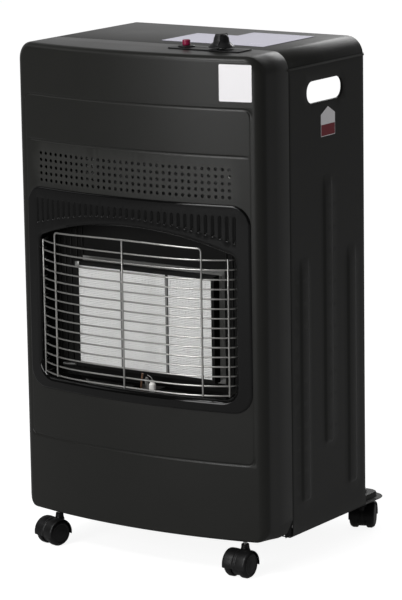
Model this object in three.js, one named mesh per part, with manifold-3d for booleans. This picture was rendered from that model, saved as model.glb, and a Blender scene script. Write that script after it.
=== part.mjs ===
// Portable gas cabinet heater on four twin-wheel casters, as an assembly of separate pieces.
// Millimetres, +Z up, +Y to the rear. While the pieces are made, y = 0 is the line through the
// front corners of the casing. The last lines centre the model in y and set it on z = 0.
import * as THREE from 'three';
import { mergeGeometries, mergeVertices } from 'three/addons/utils/BufferGeometryUtils.js';
import Module from 'manifold-3d';

const wasm = await Module();
wasm.setup();

// ---------------------------------------------------------------- driving dimensions
const sheet = 1.2;             // steel sheet of all casings
const gap = 0.3;               // between pieces that rest on each other
const seam = 0.8;              // open seam between the casings

const cabinet = {
  halfWidth: 206, topZ: 733.3, bottomZ: 55.8, seamY: 68, rearY: 266.7,
  bow: 27.1,                   // how far the front face bulges
  cornerR: 12,                 // upright front corners
  topSideR: 25.8, topFrontR: 9, bottomSideR: 13, bottomFrontR: 4, bottomLip: 18,
};
const grille = { pitchX: 9.95, pitchZ: 9.55, columns: 33, rows: 5, holeR: 2.3, bottomZ: 540 };
const grooves = { heights: [661.1, 596.4, 165.6], halfLength: 190, width: 6, depth: 0.6 };
const opening = { halfWidth: 166, bottomZ: 256, springZ: 457, crownZ: 487.5, cornerR: 22, flangeEndY: 14 };
const bezel = { halfWidth: 188.9, bottomZ: 238, topZ: 530, cornerR: 28, proud: 2.6 };
const flutes = { count: 33, pitch: 10.4, width: 5.4, depth: 1.5, topZ: 515, crownZ: 499.5, endZ: 475 };
const guard = {
  crownY: -43, endY: -14, endX: 157, hoopX: 124, curve: 3.74, wireD: 2.4, uprightD: 2.6,
  wires: 15, bottomZ: 263.2, topZ: 453.4, hoopZ: 469.5, hoopRise: 3, hookDepth: 8,
};
const chamber = { halfWidth: 176, bottomZ: 246, topZ: 498, depth: 20 };
const plaque = { width: 76, height: 144.8, thickness: 12, centreZ: 347, frontY: 10, joint: 0.6 };
const burner = {
  wall: 1.6, rearY: 58, flange: 6, flangeY: 31.5, seatWidth: 3, mouthR: 11, mouthBore: 9.4,
  mouthZ: 301, mouthY: 46.2, armReach: 26,
};
const clamp = { cover: 1.6, bar: 3.4, depth: 14 };
const shield = { halfWidth: 203, bottomZ: 122, topZ: 690, foldDepth: 14 };
const sidePanel = { bottomZ: 50.5, topZ: 708.7, flange: 15, frontFlangeZ: 92, rearFlangeZ: 64 };
const slot = { centreY: 162.4, centreZ: 670, length: 94, height: 30.5 };
const ribs = [
  { y: 104, bottomZ: 91, topZ: 446 },
  { y: 167, bottomZ: 163, topZ: 554 },
  { y: 230, bottomZ: 91, topZ: 446 },
];
const rib = { width: 27, slope: 4, proud: 2 };
const base = {
  flangeZ: 49, rearY: 332, rearR: 25, stepInset: 8, rearStep: 12, lipHeight: 25,
  frontY: 62, floorInset: 12.5, lipFrontY: 71, lipRearY: 262,
  padHalf: 115, padFrontY: 88, padRearY: 248, padR: 20, padRise: 0.8,   // pressed up under the bottle
};
const topCover = { skirtZ: 709.5 };
const knob = {
  x: 113, y: 44, skirtR: 18.3, bodyR: 11.2, topR: 9.6, height: 21.4, skirtHeight: 7, edge: 1.2,
  press: 2.2, gripWidth: 12, gripFrontR: 15, boreR: 4.3, boreDepth: 13,
};
const spindle = { r: 4, bottomZ: 694 };
const washer = { outerR: 6, thickness: 1.2, z: 727 };
const igniter = {
  x: 55, y: 44, buttonR: 5.5, buttonHeight: 7.6, travel: 6, collarR: 12, collarHeight: 2,
  barrelR: 7.6, barrelBottomZ: 676, nutAcross: 22, nutHeight: 6, terminalR: 3, terminalLength: 8,
};
const plate = { centreX: 93.5, centreY: 44, length: 118, width: 38, thickness: 1.2 };
const valve = { width: 34, frontY: 29, rearY: 58, bottomZ: 664, topZ: 712, neckR: 7.5, portR: 6.5, outletLength: 10 };
const bracket = { width: 52, frontY: 24, rearY: 60 };
const inlet = { boreR: 3, barbR: 5.2, rootR: 4.2, hexR: 8, hexLength: 8, barbs: 3, barbPitch: 7, portEndY: 80 };
const pipe = { mainR: 4, pilotR: 2, leadR: 1.5, capillaryR: 1.2, bend: 14 };
const pilot = {
  y: -2, burnerX: 9.5, thermoX: -0.5, sparkX: 19, plateZ: 247, topZ: 270.5, burnerR: 2.8,
  thermoTopZ: 275, thermoR: 1.6, insulatorTopZ: 267, insulatorR: 5.1, insulatorNeckR: 3.3, plateMinX: -9, plateMaxX: 30,
};
const frontLabel = { minX: 146.3, maxX: 192.6, bottomZ: 671.9, topZ: 722.5 };
const sideLabel = { minY: 150, maxY: 187.3, bottomZ: 605, shoulderZ: 636, apexZ: 646.3 };
const topLabel = { minX: -22, middleX: 46, maxX: 148, frontY: 96, shortRearY: 187, rearY: 229 };
const label = { thickness: 0.3 };
const caster = {
  wheelR: 19, wheelWidth: 12.6, wheelSides: 20, webHalf: 5.8, webR: 16.5, sideGap: 0.3, trail: 12.5, axleR: 2.5,
  roofR: 20.9, roofThickness: 1.2, roofDrop: 3.5, neckR: 5.7, neckTopZ: 45, pinR: 2.9, pinBottomZ: 25,
  collarR: 7, collarHeight: 2, threadR: 4, threadLength: 8, nutAcross: 13, nutHeight: 5,
};
const casters = [
  { name: 'front_left', x: 44.5 - cabinet.halfWidth, y: 15, turn: -15 },
  { name: 'front_right', x: cabinet.halfWidth - 45.5, y: 15, turn: 0 },
  { name: 'rear_left', x: 26 - cabinet.halfWidth, y: 298, turn: 165 },
  { name: 'rear_right', x: cabinet.halfWidth - 26, y: 298, turn: 202 },
];
const groundZ = 1.2;           // height of the ground while the pieces are made

// ---------------------------------------------------------------- derived places
const floorZ = cabinet.bottomZ + sheet + gap;                  // underside of the base's floor
const floorTopZ = floorZ + sheet;
const rearFrontY = cabinet.seamY + seam;                       // where the rear casings start
const panelInnerX = cabinet.halfWidth - sheet;
const topInnerZ = cabinet.topZ - sheet;
const plateTopZ = cabinet.topZ + gap + plate.thickness;
const shieldY = rearFrontY + sheet + gap;
const chamberFrontY = opening.flangeEndY + gap;
const chamberRearY = chamberFrontY + chamber.depth;
const plaqueBottomZ = plaque.centreZ - plaque.height / 2;
const plaqueTopZ = plaque.centreZ + plaque.height / 2;
const plaqueEndX = 1.5 * plaque.width + plaque.joint;          // outer edge of the row of plaques
const burnerOuterX = plaqueEndX + gap + burner.wall;
const burnerBottomZ = plaqueBottomZ - gap - burner.wall;
const burnerTopZ = plaqueTopZ + gap + burner.wall;
const clampOuterX = burnerOuterX + gap + sheet;
const injectorArmX = burnerOuterX + burner.armReach;
const injectorEndX = injectorArmX + sheet + gap + 12;

// ---------------------------------------------------------------- materials
function paint(color, roughness, metalness) {
  return new THREE.MeshStandardMaterial({ color, roughness, metalness });
}
const material = {
  casing: paint(0x2f3032, 0.5, 0.3),
  enamel: paint(0x111214, 0.15, 0.2),
  chrome: paint(0xc9cac8, 0.2, 1),
  chamber: paint(0x4b4b49, 0.5, 0.6),
  ceramic: paint(0xdcdcda, 0.8, 0),
  steel: paint(0x9a9a98, 0.35, 0.9),
  brass: paint(0xb08d4a, 0.35, 0.9),
  copper: paint(0xa0603a, 0.35, 0.9),
  plastic: paint(0x1b1b1c, 0.45, 0),
  red: paint(0x8c1230, 0.35, 0),
  porcelain: paint(0xe9e8e4, 0.3, 0),
  label: paint(0xe8e8ea, 0.5, 0),
  lead: paint(0xb9b5ab, 0.6, 0),
};

// ---------------------------------------------------------------- outlines and solids
const deg = Math.PI / 180;
const point = (x, y) => new THREE.Vector2(x, y);

function arc(cx, cy, r, from, to, steps) {
  const points = [];
  for (let i = 0; i <= steps; i += 1) {
    const a = (from + ((to - from) * i) / steps) * deg;
    points.push(point(cx + r * Math.cos(a), cy + r * Math.sin(a)));
  }
  return points;
}
const circle = (cx, cy, r, sides, start = 0) => arc(cx, cy, r, start, start + 360 - 360 / sides, sides - 1);
const rectangle = (x0, x1, y0, y1) => [point(x0, y0), point(x1, y0), point(x1, y1), point(x0, y1)];
function roundedRectangle(x0, x1, y0, y1, r, steps) {
  return [
    ...arc(x1 - r, y0 + r, r, -90, 0, steps), ...arc(x1 - r, y1 - r, r, 0, 90, steps),
    ...arc(x0 + r, y1 - r, r, 90, 180, steps), ...arc(x0 + r, y0 + r, r, 180, 270, steps),
  ];
}

// The end faces get their heights as given, so that faces of one height lie in one plane.
function extrude(outline, low, high) {
  const geometry = new THREE.ExtrudeGeometry(
    new THREE.Shape(outline), { depth: high - low, bevelEnabled: false });
  const { position } = geometry.attributes;
  for (let i = 0; i < position.count; i += 1) position.setZ(i, position.getZ(i) > 0 ? high : low);
  return geometry;
}
// Prisms along an axis: the outline holds (x, y), (x, z) or (y, z).
const towardsX = new THREE.Matrix4().makeBasis(
  new THREE.Vector3(0, 1, 0), new THREE.Vector3(0, 0, 1), new THREE.Vector3(1, 0, 0));
const towardsFront = new THREE.Matrix4().makeBasis(
  new THREE.Vector3(1, 0, 0), new THREE.Vector3(0, 0, 1), new THREE.Vector3(0, -1, 0));
const alongZ = (outline, z0, z1) => extrude(outline, z0, z1);
const alongY = (outline, y0, y1) => extrude(outline, -y1, -y0).applyMatrix4(towardsFront);
const alongX = (outline, x0, x1) => extrude(outline, x0, x1).applyMatrix4(towardsX);
const box = (x0, x1, y0, y1, z0, z1) => alongZ(rectangle(x0, x1, y0, y1), z0, z1);
const rod = (x, y, r, z0, z1, sides = 12) => alongZ(circle(x, y, r, sides, 180 / sides), z0, z1);
const hexagon = (x, y, across) => circle(x, y, across / Math.sqrt(3), 6);

function asSolid(shape) {
  if (!shape.isBufferGeometry) return shape;
  const bare = new THREE.BufferGeometry();
  bare.setAttribute('position', shape.attributes.position);
  if (shape.index) bare.setIndex(shape.index);
  const merged = mergeVertices(bare, 1e-4);
  return new wasm.Manifold(new wasm.Mesh({
    numProp: 3,
    vertProperties: new Float32Array(merged.attributes.position.array),
    triVerts: new Uint32Array(merged.index.array),
  }));
}
const cut = (body, ...tools) => tools.reduce((a, b) => a.subtract(asSolid(b)), asSolid(body));
const join = (...bodies) => bodies.map(asSolid).reduce((a, b) => a.add(b));
const keep = (body, ...limits) => limits.reduce((a, b) => a.intersect(asSolid(b)), asSolid(body));

function asGeometry(shape) {
  if (shape.isBufferGeometry) return shape;
  const { vertProperties, triVerts } = shape.getMesh();
  const geometry = new THREE.BufferGeometry();
  geometry.setAttribute('position', new THREE.BufferAttribute(vertProperties, 3));
  geometry.setIndex(new THREE.BufferAttribute(triVerts, 1));
  return geometry;
}

// A closed body through rings of equally many points, each ring at its own height.
function loft(rings) {
  const count = rings[0].outline.length;
  const positions = rings.flatMap(({ outline, z }) => outline.flatMap((p) => [p.x, p.y, z]));
  const index = [];
  for (let k = 0; k + 1 < rings.length; k += 1) {
    for (let i = 0; i < count; i += 1) {
      const j = (i + 1) % count;
      const [a, b, c, d] = [k * count + i, k * count + j, (k + 1) * count + j, (k + 1) * count + i];
      index.push(a, b, c, a, c, d);
    }
  }
  const last = (rings.length - 1) * count;
  for (const [a, b, c] of THREE.ShapeUtils.triangulateShape(rings[0].outline, [])) index.push(a, c, b);
  for (const [a, b, c] of THREE.ShapeUtils.triangulateShape(rings[rings.length - 1].outline, [])) {
    index.push(last + a, last + b, last + c);
  }
  const geometry = new THREE.BufferGeometry();
  geometry.setAttribute('position', new THREE.Float32BufferAttribute(positions, 3));
  geometry.setIndex(index);
  return geometry;
}

// A path that passes straight from point to point, so that a swept tube has its rings there.
class Route extends THREE.Curve {
  constructor(points) {
    super();
    this.points = points;
  }

  getPoint(t) {
    const place = t * (this.points.length - 1);
    const i = Math.min(Math.floor(place), this.points.length - 2);
    return this.points[i].clone().lerp(this.points[i + 1], place - i);
  }

  getTangent(t) {
    const i = Math.round(t * (this.points.length - 1));
    const before = this.points[Math.max(i - 1, 0)];
    const here = this.points[i];
    const after = this.points[Math.min(i + 1, this.points.length - 1)];
    const arriving = here.clone().sub(before).normalize();
    return arriving.add(after.clone().sub(here).normalize()).normalize();
  }

  getPointAt(u) { return this.getPoint(u); }

  getTangentAt(u) { return this.getTangent(u); }
}

// Corners of a route become short curves of the given bend.
function bent(corners, bend, steps = 3) {
  const points = corners.map((c) => new THREE.Vector3(...c));
  const route = [points[0]];
  for (let i = 1; i + 1 < points.length; i += 1) {
    const reach = Math.min(bend, points[i].distanceTo(points[i - 1]) / 2.1, points[i].distanceTo(points[i + 1]) / 2.1);
    const from = points[i].clone().lerp(points[i - 1], reach / points[i].distanceTo(points[i - 1]));
    const to = points[i].clone().lerp(points[i + 1], reach / points[i].distanceTo(points[i + 1]));
    const curve = new THREE.QuadraticBezierCurve3(from, points[i], to);
    route.push(...curve.getPoints(steps));
  }
  route.push(points[points.length - 1]);
  return route;
}

function tube(route, r, sides = 6) {
  const section = new THREE.Shape(circle(0, 0, r, sides));
  return new THREE.ExtrudeGeometry(section, {
    steps: route.length - 1, bevelEnabled: false, extrudePath: new Route(route),
  });
}

// A turned piece: the profile holds (radius, height) and the axis is Z at (x, y).
function turned(profile, sides, x = 0, y = 0) {
  return new THREE.LatheGeometry(profile, sides).rotateX(Math.PI / 2).translate(x, y, 0);
}

// ---------------------------------------------------------------- the bowed front
const bowY = (x) => -cabinet.bow * (1 - (x / cabinet.halfWidth) ** 2);
// The bow is faceted between columns of holes, so that no hole lies on a facet's edge.
const facetEdges = [];
for (let x = 1.5 * grille.pitchX; x < cabinet.halfWidth - cabinet.cornerR; x += 2 * grille.pitchX) facetEdges.push(x);

// The casing's outline seen from above, moved inwards by inset, open towards the rear.
function frontPlan(inset, rearY) {
  const r = Math.max(cabinet.cornerR - inset, 0.5);
  const cx = cabinet.halfWidth - inset - r;
  const slope = Math.atan((2 * cabinet.bow * cx) / cabinet.halfWidth ** 2) / deg;
  const cy = bowY(cx + r * Math.sin(slope * deg)) + inset + r * Math.cos(slope * deg);
  const right = [
    ...facetEdges.map((x) => point(x, bowY(x) + inset)),
    ...arc(cx, cy, r, slope - 90, 0, 3), point(cabinet.halfWidth - inset, rearY),
  ];
  return [...right.map((p) => point(-p.x, p.y)).reverse(), ...right];
}

// A band that follows the bow from x0 to x1, between two distances behind the front face.
function bowBand(x0, x1, front, back) {
  const edges = [...facetEdges.map((x) => -x).reverse(), ...facetEdges].filter((x) => x > x0 + 1 && x < x1 - 1);
  const xs = [x0, ...edges, x1];
  const far = xs.slice().reverse();
  return [...xs.map((x) => point(x, bowY(x) + front)), ...far.map((x) => point(x, bowY(x) + back))];
}
// Everything behind the bow, as far back as y1.
function behindBow(half, front, y1) {
  const band = bowBand(-half, half, front, 0);
  const facing = band.slice(0, band.length / 2);
  return [...facing, point(half, y1), point(-half, y1)];
}

// The arched opening in front of the burner, grown outwards by grow: holds (x, z).
function windowOutline(grow) {
  const half = opening.halfWidth + grow;
  const bottom = opening.bottomZ - grow;
  const crown = opening.crownZ + grow;
  const spring = opening.springZ + grow / 2;
  const r = opening.cornerR + grow;
  const sag = crown - spring;
  const archR = (half ** 2 + sag ** 2) / (2 * sag);
  const end = 90 - Math.asin((half - 10) / archR) / deg;
  return [
    ...arc(half - r, bottom + r, r, -90, 0, 3), point(half, spring - 9), point(half - 2.5, spring - 2),
    ...arc(0, crown - archR, archR, end, 180 - end, 12),
    point(-half + 2.5, spring - 2), point(-half, spring - 9), ...arc(-half + r, bottom + r, r, 180, 270, 3),
  ];
}

// Half the opening's width at height z, past its rounded bottom corners and its shoulders.
function openingHalfAt(z) {
  const { halfWidth, bottomZ, springZ, cornerR } = opening;
  const low = Math.max(bottomZ + cornerR - z, 0);
  const high = Math.max(z - springZ + 9, 0);
  const corner = low > 0 ? 0.8 + cornerR - Math.sqrt(cornerR ** 2 - low ** 2) : 0;
  return halfWidth - corner - high * 0.36;
}

// ---------------------------------------------------------------- the scene graph
const heater = new THREE.Group();
function place(name, shape, finish, parent = heater) {
  const mesh = new THREE.Mesh(asGeometry(shape), finish);
  mesh.name = name;
  parent.add(mesh);
  return mesh;
}

// ---------------------------------------------------------------- casings
function casingBody(inset, rearY) {
  const bottomR = cabinet.bottomFrontR - inset;
  const topR = cabinet.topFrontR - inset;
  const rings = [];
  for (const a of [0, 45, 90]) {
    const [s, c] = [Math.sin(a * deg), Math.cos(a * deg)];
    rings.push({
      z: cabinet.bottomZ + inset + bottomR * (1 - c), outline: frontPlan(inset + bottomR * (1 - s), rearY),
    });
  }
  for (const a of [0, 45, 90]) {
    const [s, c] = [Math.sin(a * deg), Math.cos(a * deg)];
    rings.push({ z: cabinet.topZ - inset - topR * (1 - s), outline: frontPlan(inset + topR * (1 - c), rearY) });
  }
  return loft(rings);
}
// The cabinet's outline seen from the front, moved inwards by inset.
function elevation(inset) {
  const half = cabinet.halfWidth - inset;
  const top = cabinet.topZ - inset;
  const bottom = cabinet.bottomZ + inset;
  const topR = cabinet.topSideR - inset;
  const bottomR = cabinet.bottomSideR - inset;
  return [
    ...arc(-half + bottomR, bottom + bottomR, bottomR, 180, 270, 4),
    ...arc(half - bottomR, bottom + bottomR, bottomR, 270, 360, 4),
    ...arc(half - topR, top - topR, topR, 0, 90, 6), ...arc(-half + topR, top - topR, topR, 90, 180, 6),
  ];
}

function perforations() {
  const holes = [];
  for (let c = 0; c < grille.columns; c += 1) {
    for (let k = 0; k < grille.rows; k += 1) {
      const x = (c - (grille.columns - 1) / 2) * grille.pitchX;
      const z = grille.bottomZ + k * grille.pitchZ;
      holes.push(alongY(circle(x, z, grille.holeR, 6, 30), bowY(x) - 4, bowY(x) + 4));
    }
  }
  return mergeGeometries(holes);
}

function frontPanel() {
  const rearY = cabinet.seamY;
  const beyond = 10;
  const outer = keep(casingBody(0, rearY), alongY(elevation(0), -60, rearY));
  const inner = keep(casingBody(sheet, rearY + beyond), alongY(elevation(sheet), -60, rearY + beyond));
  const underside = alongZ(frontPlan(cabinet.bottomLip, rearY + beyond), 0, floorZ + beyond);
  const notch = [point(36, 40), point(rearY + beyond, 40), point(rearY + beyond, 84), point(rearY, 74.5)];
  const presses = grooves.heights.map((z) => alongZ(
    bowBand(-grooves.halfLength, grooves.halfLength, -2, grooves.depth), z - grooves.width / 2, z + grooves.width / 2));
  return cut(
    outer, inner, underside, alongX(notch, -300, 300),
    alongY(windowOutline(3 * sheet), -60, 20), perforations(), ...presses,
    rod(knob.x, knob.y, washer.outerR + 1.4, topInnerZ - 5, cabinet.topZ + 5, 16),
    rod(igniter.x, igniter.y, igniter.barrelR + gap, topInnerZ - 5, cabinet.topZ + 5, 16));
}

function sidePanelRight() {
  const outer = cabinet.halfWidth;
  const { bottomZ, topZ, flange, frontFlangeZ, rearFlangeZ } = sidePanel;
  const innerFront = rearFrontY + sheet;
  const innerRear = cabinet.rearY - sheet;
  const block = box(panelInnerX - flange, outer, rearFrontY, cabinet.rearY, bottomZ, topZ);
  const inside = [
    point(rearFrontY - 10, 0), point(cabinet.rearY + 10, 0), point(cabinet.rearY + 10, rearFlangeZ),
    point(innerRear, rearFlangeZ), point(innerRear, topZ - sheet), point(innerFront, topZ - sheet),
    point(innerFront, frontFlangeZ), point(rearFrontY - 10, frontFlangeZ),
  ];
  const presses = ribs.map(({ y, bottomZ: z0, topZ: z1 }) => {
    const [root, half, rise] = [sheet / 2, rib.width / 2, rib.slope / rib.proud];
    const ring = (out) => ({
      z: outer + out,
      outline: rectangle(y - half + rise * out, y + half - rise * out, z0 + rise * out, z1 - rise * out),
    });
    return loft([ring(-root), ring(rib.proud)]).applyMatrix4(towardsX);
  });
  const hand = roundedRectangle(
    slot.centreY - slot.length / 2, slot.centreY + slot.length / 2,
    slot.centreZ - slot.height / 2, slot.centreZ + slot.height / 2, slot.height / 2 - 1, 5);
  return cut(join(cut(block, alongX(inside, 0, panelInnerX)), ...presses), alongX(hand, outer - 10, outer + 30));
}

const mirrored = (solid) => {
  const geometry = asGeometry(solid).clone().scale(-1, 1, 1);
  const index = geometry.index.array;
  for (let i = 0; i < index.length; i += 3) [index[i], index[i + 1]] = [index[i + 1], index[i]];
  return geometry;
};

function topCoverBody() {
  const shell = cut(
    alongY(elevation(0), rearFrontY, cabinet.rearY),
    alongY(elevation(sheet), rearFrontY - 5, cabinet.rearY - sheet));
  return cut(shell, box(-300, 300, 0, 300, 0, topCover.skirtZ));
}

function basePlate() {
  const { flangeZ, rearY, rearR } = base;
  const half = cabinet.halfWidth;
  const flangePlan = (inset, rearInset, frontY) => [
    point(-half + inset, frontY), point(half - inset, frontY),
    ...arc(half - rearR, rearY - rearR, rearR, 0, 90, 6).map((p) => point(
      Math.min(p.x, half) - inset * ((p.x - half + rearR) / rearR), p.y - rearInset * ((p.y - rearY + rearR) / rearR))),
    ...arc(-half + rearR, rearY - rearR, rearR, 90, 180, 6).map((p) => point(
      p.x - inset * ((p.x + half - rearR) / rearR), p.y - rearInset * ((p.y - rearY + rearR) / rearR))),
  ];
  const tray = cut(
    join(
      alongZ(flangePlan(0, 0, base.frontY), flangeZ, flangeZ + sheet),
      alongZ(flangePlan(base.stepInset, base.rearStep, rearFrontY), flangeZ, floorTopZ)),
    alongZ(flangePlan(base.stepInset + sheet, base.rearStep + sheet, rearFrontY - 5), flangeZ - 5, floorZ));
  const floor = alongZ(frontPlan(base.floorInset, rearFrontY + 20), floorZ, floorTopZ);
  const lipX = panelInnerX - gap;
  const lip = (side) => box(
    Math.min(side * lipX, side * (lipX - sheet)), Math.max(side * lipX, side * (lipX - sheet)),
    base.lipFrontY, base.lipRearY, floorZ, floorTopZ + base.lipHeight);
  const sides = (side) => box(
    Math.min(side * lipX, side * (half - base.stepInset - 5)), Math.max(side * lipX, side * (half - base.stepInset - 5)),
    base.lipFrontY, base.lipRearY, floorZ, floorTopZ);
  const pad = (inset, z0, z1) => alongZ(roundedRectangle(
    -base.padHalf + inset, base.padHalf - inset, base.padFrontY + inset, base.padRearY - inset,
    base.padR - inset, 2), z0, z1);
  const stems = casters.map(({ x, y }) => rod(x, y, caster.threadR + gap, floorZ - 5, floorTopZ + 5));
  return cut(
    join(tray, floor, lip(1), lip(-1), sides(1), sides(-1), pad(0, floorZ, floorTopZ + base.padRise)),
    pad(sheet, floorZ - 5, floorZ + base.padRise), ...stems);
}

function heatShield() {
  const { halfWidth, bottomZ, topZ, foldDepth } = shield;
  const wall = box(-halfWidth, halfWidth, shieldY, shieldY + sheet, bottomZ, topZ);
  const fold = box(
    -halfWidth + sidePanel.flange + 5, halfWidth - sidePanel.flange - 5,
    shieldY - foldDepth, shieldY + sheet, bottomZ, bottomZ + sheet);
  const port = alongY(circle(knob.x, valvePortZ, inlet.hexR + 1, 12), shieldY - 5, shieldY + 5);
  return cut(join(wall, fold), port);
}

// ---------------------------------------------------------------- window, guard and chamber
function windowSurround() {
  const { halfWidth, bottomZ, topZ, cornerR, proud } = bezel;
  const face = keep(
    alongZ(bowBand(-halfWidth, halfWidth, -proud, -gap), bottomZ, topZ),
    alongY(roundedRectangle(-halfWidth, halfWidth, bottomZ, topZ, cornerR, 4), -60, 20));
  const well = keep(
    cut(alongY(windowOutline(sheet), -60, opening.flangeEndY), alongY(windowOutline(0), -61, 20)),
    alongZ(behindBow(halfWidth, -proud, opening.flangeEndY), bottomZ, topZ));
  const archSag = flutes.crownZ - flutes.endZ;
  const fluteEnd = (flutes.count / 2) * flutes.pitch;
  const recesses = [];
  for (let k = 0; k < flutes.count; k += 1) {
    const x = (k - (flutes.count - 1) / 2) * flutes.pitch;
    const footZ = flutes.crownZ - archSag * (x / fluteEnd) ** 2;
    const w = flutes.width / 2;
    recesses.push(box(
      x - w, x + w, bowY(x) - proud - 3, bowY(x) - proud + flutes.depth, footZ, flutes.topZ));
  }
  const pilotGap = box(pilot.plateMinX - 1, pilot.plateMaxX + 1, -14, 20, opening.bottomZ - 5, opening.bottomZ + 2);
  return cut(join(cut(face, alongY(windowOutline(0), -60, 20)), well), pilotGap, ...recesses);
}

const guardY = (x) => guard.crownY + (guard.endY - guard.crownY) * Math.abs(x / guard.endX) ** guard.curve;
function guardGrille() {
  const { wireD, uprightD, wires, bottomZ, topZ, endX, hoopX, hoopZ, hoopRise, hookDepth } = guard;
  const weld = 0.8 * wireD;                      // the bars lie behind the uprights, welded to them
  const pitch = (topZ - bottomZ) / (wires - 1);
  const half = [0, 0.45, 0.72, 0.88].map((share) => share * endX);
  const bars = [];
  for (let k = 0; k < wires; k += 1) {
    const z = bottomZ + k * pitch;
    const hookX = Math.min(openingHalfAt(z - wireD / 2), openingHalfAt(z + wireD / 2)) - gap - wireD / 2;
    const right = half.map((x) => new THREE.Vector3(x, guardY(x) + weld, z));
    right.push(new THREE.Vector3(endX, guard.endY + weld, z));
    right.push(new THREE.Vector3(hookX, guard.endY + weld + hookDepth, z));
    right.push(new THREE.Vector3(hookX, guard.endY + weld + 2 * hookDepth, z));
    const left = right.slice(1).reverse().map((p) => new THREE.Vector3(-p.x, p.y, p.z));
    bars.push(tube([...left, ...right], wireD / 2));
  }
  const upright = (x, z1) => alongZ(circle(x, guardY(x), uprightD / 2, 6, 30), bottomZ - wireD / 2, z1);
  const low = bottomZ - wireD / 2;
  const y = guardY(hoopX);
  const hoop = tube(bent([
    [-hoopX, y, low], [-hoopX, y, hoopZ], [-hoopX / 2, guardY(hoopX / 2), hoopZ + 0.8 * hoopRise],
    [0, guard.crownY, hoopZ + hoopRise], [hoopX / 2, guardY(hoopX / 2), hoopZ + 0.8 * hoopRise],
    [hoopX, y, hoopZ], [hoopX, y, low],
  ], 5, 2), uprightD / 2);
  return join(
    ...bars, hoop, upright(0, hoopZ + hoopRise), upright(-endX, topZ + wireD / 2), upright(endX, topZ + wireD / 2));
}

function reflector() {
  const { halfWidth, bottomZ, topZ } = chamber;
  const clear = gap * 2;
  return cut(
    box(-halfWidth, halfWidth, chamberFrontY, chamberRearY, bottomZ, topZ),
    box(
      -halfWidth + sheet, halfWidth - sheet, chamberFrontY + sheet, chamberRearY - sheet,
      bottomZ + sheet, topZ - sheet),
    alongY(windowOutline(0), chamberFrontY - 5, chamberFrontY + 5),
    box(
      -burnerOuterX - clear, burnerOuterX + clear, chamberRearY - 5, chamberRearY + 5,
      burnerBottomZ - clear, burnerTopZ + clear));
}

// ---------------------------------------------------------------- burner
function burnerBody() {
  const { wall, rearY, flange, flangeY, seatWidth, mouthR, mouthBore, mouthY, mouthZ } = burner;
  const { frontY, thickness } = plaque;
  const innerX = burnerOuterX - wall;
  const shell = cut(
    box(-burnerOuterX, burnerOuterX, frontY, rearY, burnerBottomZ, burnerTopZ),
    box(-innerX, innerX, frontY - 5, frontY + thickness + gap, burnerBottomZ + wall, burnerTopZ - wall),
    box(
      -innerX + seatWidth, innerX - seatWidth, frontY - 5, rearY - wall,
      burnerBottomZ + wall + seatWidth, burnerTopZ - wall - seatWidth));
  const rim = cut(
    box(
      -burnerOuterX - flange, burnerOuterX + flange, flangeY, flangeY + sheet,
      burnerBottomZ - flange, burnerTopZ + flange),
    box(-burnerOuterX + 0.5, burnerOuterX - 0.5, flangeY - 5, flangeY + 5, burnerBottomZ + 0.5, burnerTopZ - 0.5));
  const endX = injectorArmX - 14;
  const shelfZ = mouthZ - mouthR - 4;
  const mouth = alongX(circle(mouthY, mouthZ, mouthR, 12), burnerOuterX - wall, endX);
  const bore = alongX(circle(mouthY, mouthZ, mouthBore, 12), burnerOuterX - 30, endX + 1);
  const arm = join(
    box(burnerOuterX - wall / 2, injectorArmX + sheet, mouthY - 9, mouthY + 9, shelfZ, shelfZ + sheet),
    box(injectorArmX, injectorArmX + sheet, mouthY - 9, mouthY + 9, shelfZ, mouthZ + 9));
  const jet = alongX(circle(mouthY, mouthZ, 5 + gap, 12), injectorArmX - 5, injectorArmX + 5);
  return cut(join(shell, rim, mouth, arm), bore, jet);
}

function burnerFrame() {
  const { cover, bar, depth } = clamp;
  const innerX = burnerOuterX + gap;
  const frontY = plaque.frontY - gap - sheet;
  const windows = [-1, 0, 1].map((k) => {
    const left = k * (plaque.width + plaque.joint) - plaque.width / 2 + (k < 0 ? cover : bar / 2);
    const right = k * (plaque.width + plaque.joint) + plaque.width / 2 - (k > 0 ? cover : bar / 2);
    return box(left, right, frontY - 5, frontY + 5, plaqueBottomZ + cover, plaqueTopZ - cover);
  });
  return cut(
    box(
      -clampOuterX, clampOuterX, frontY, frontY + depth,
      burnerBottomZ - gap - sheet, burnerTopZ + gap + sheet),
    box(-innerX, innerX, frontY + sheet, frontY + depth + 5, burnerBottomZ - gap, burnerTopZ + gap),
    ...windows);
}

function ceramicPlaque(k) {
  const x = k * (plaque.width + plaque.joint);
  return box(
    x - plaque.width / 2, x + plaque.width / 2, plaque.frontY, plaque.frontY + plaque.thickness,
    plaqueBottomZ, plaqueTopZ);
}

// ---------------------------------------------------------------- pilot
function pilotBracket() {
  const { plateZ, plateMinX, plateMaxX, y } = pilot;
  const backY = chamberFrontY - gap;
  const shelf = box(plateMinX, plateMaxX, y - 8, backY, plateZ, plateZ + sheet);
  const leg = box(plateMinX, plateMaxX, backY - sheet, backY, plateZ, opening.bottomZ - gap);
  return cut(
    join(shelf, leg), rod(pilot.burnerX, y, pilot.burnerR + gap, plateZ - 5, plateZ + 5),
    rod(pilot.thermoX, y, pilot.thermoR + gap, plateZ - 5, plateZ + 5),
    rod(pilot.sparkX, y, pilot.insulatorNeckR + gap, plateZ - 5, plateZ + 5));
}

function pilotBurner() {
  const { burnerX, y, burnerR, plateZ, topZ } = pilot;
  return join(
    rod(burnerX, y, burnerR, plateZ - 6, topZ - 2), rod(burnerX, y, burnerR - 0.7, topZ - 3, topZ),
    rod(burnerX, y, burnerR + 1, plateZ + sheet + gap, plateZ + sheet + 3));
}

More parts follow.
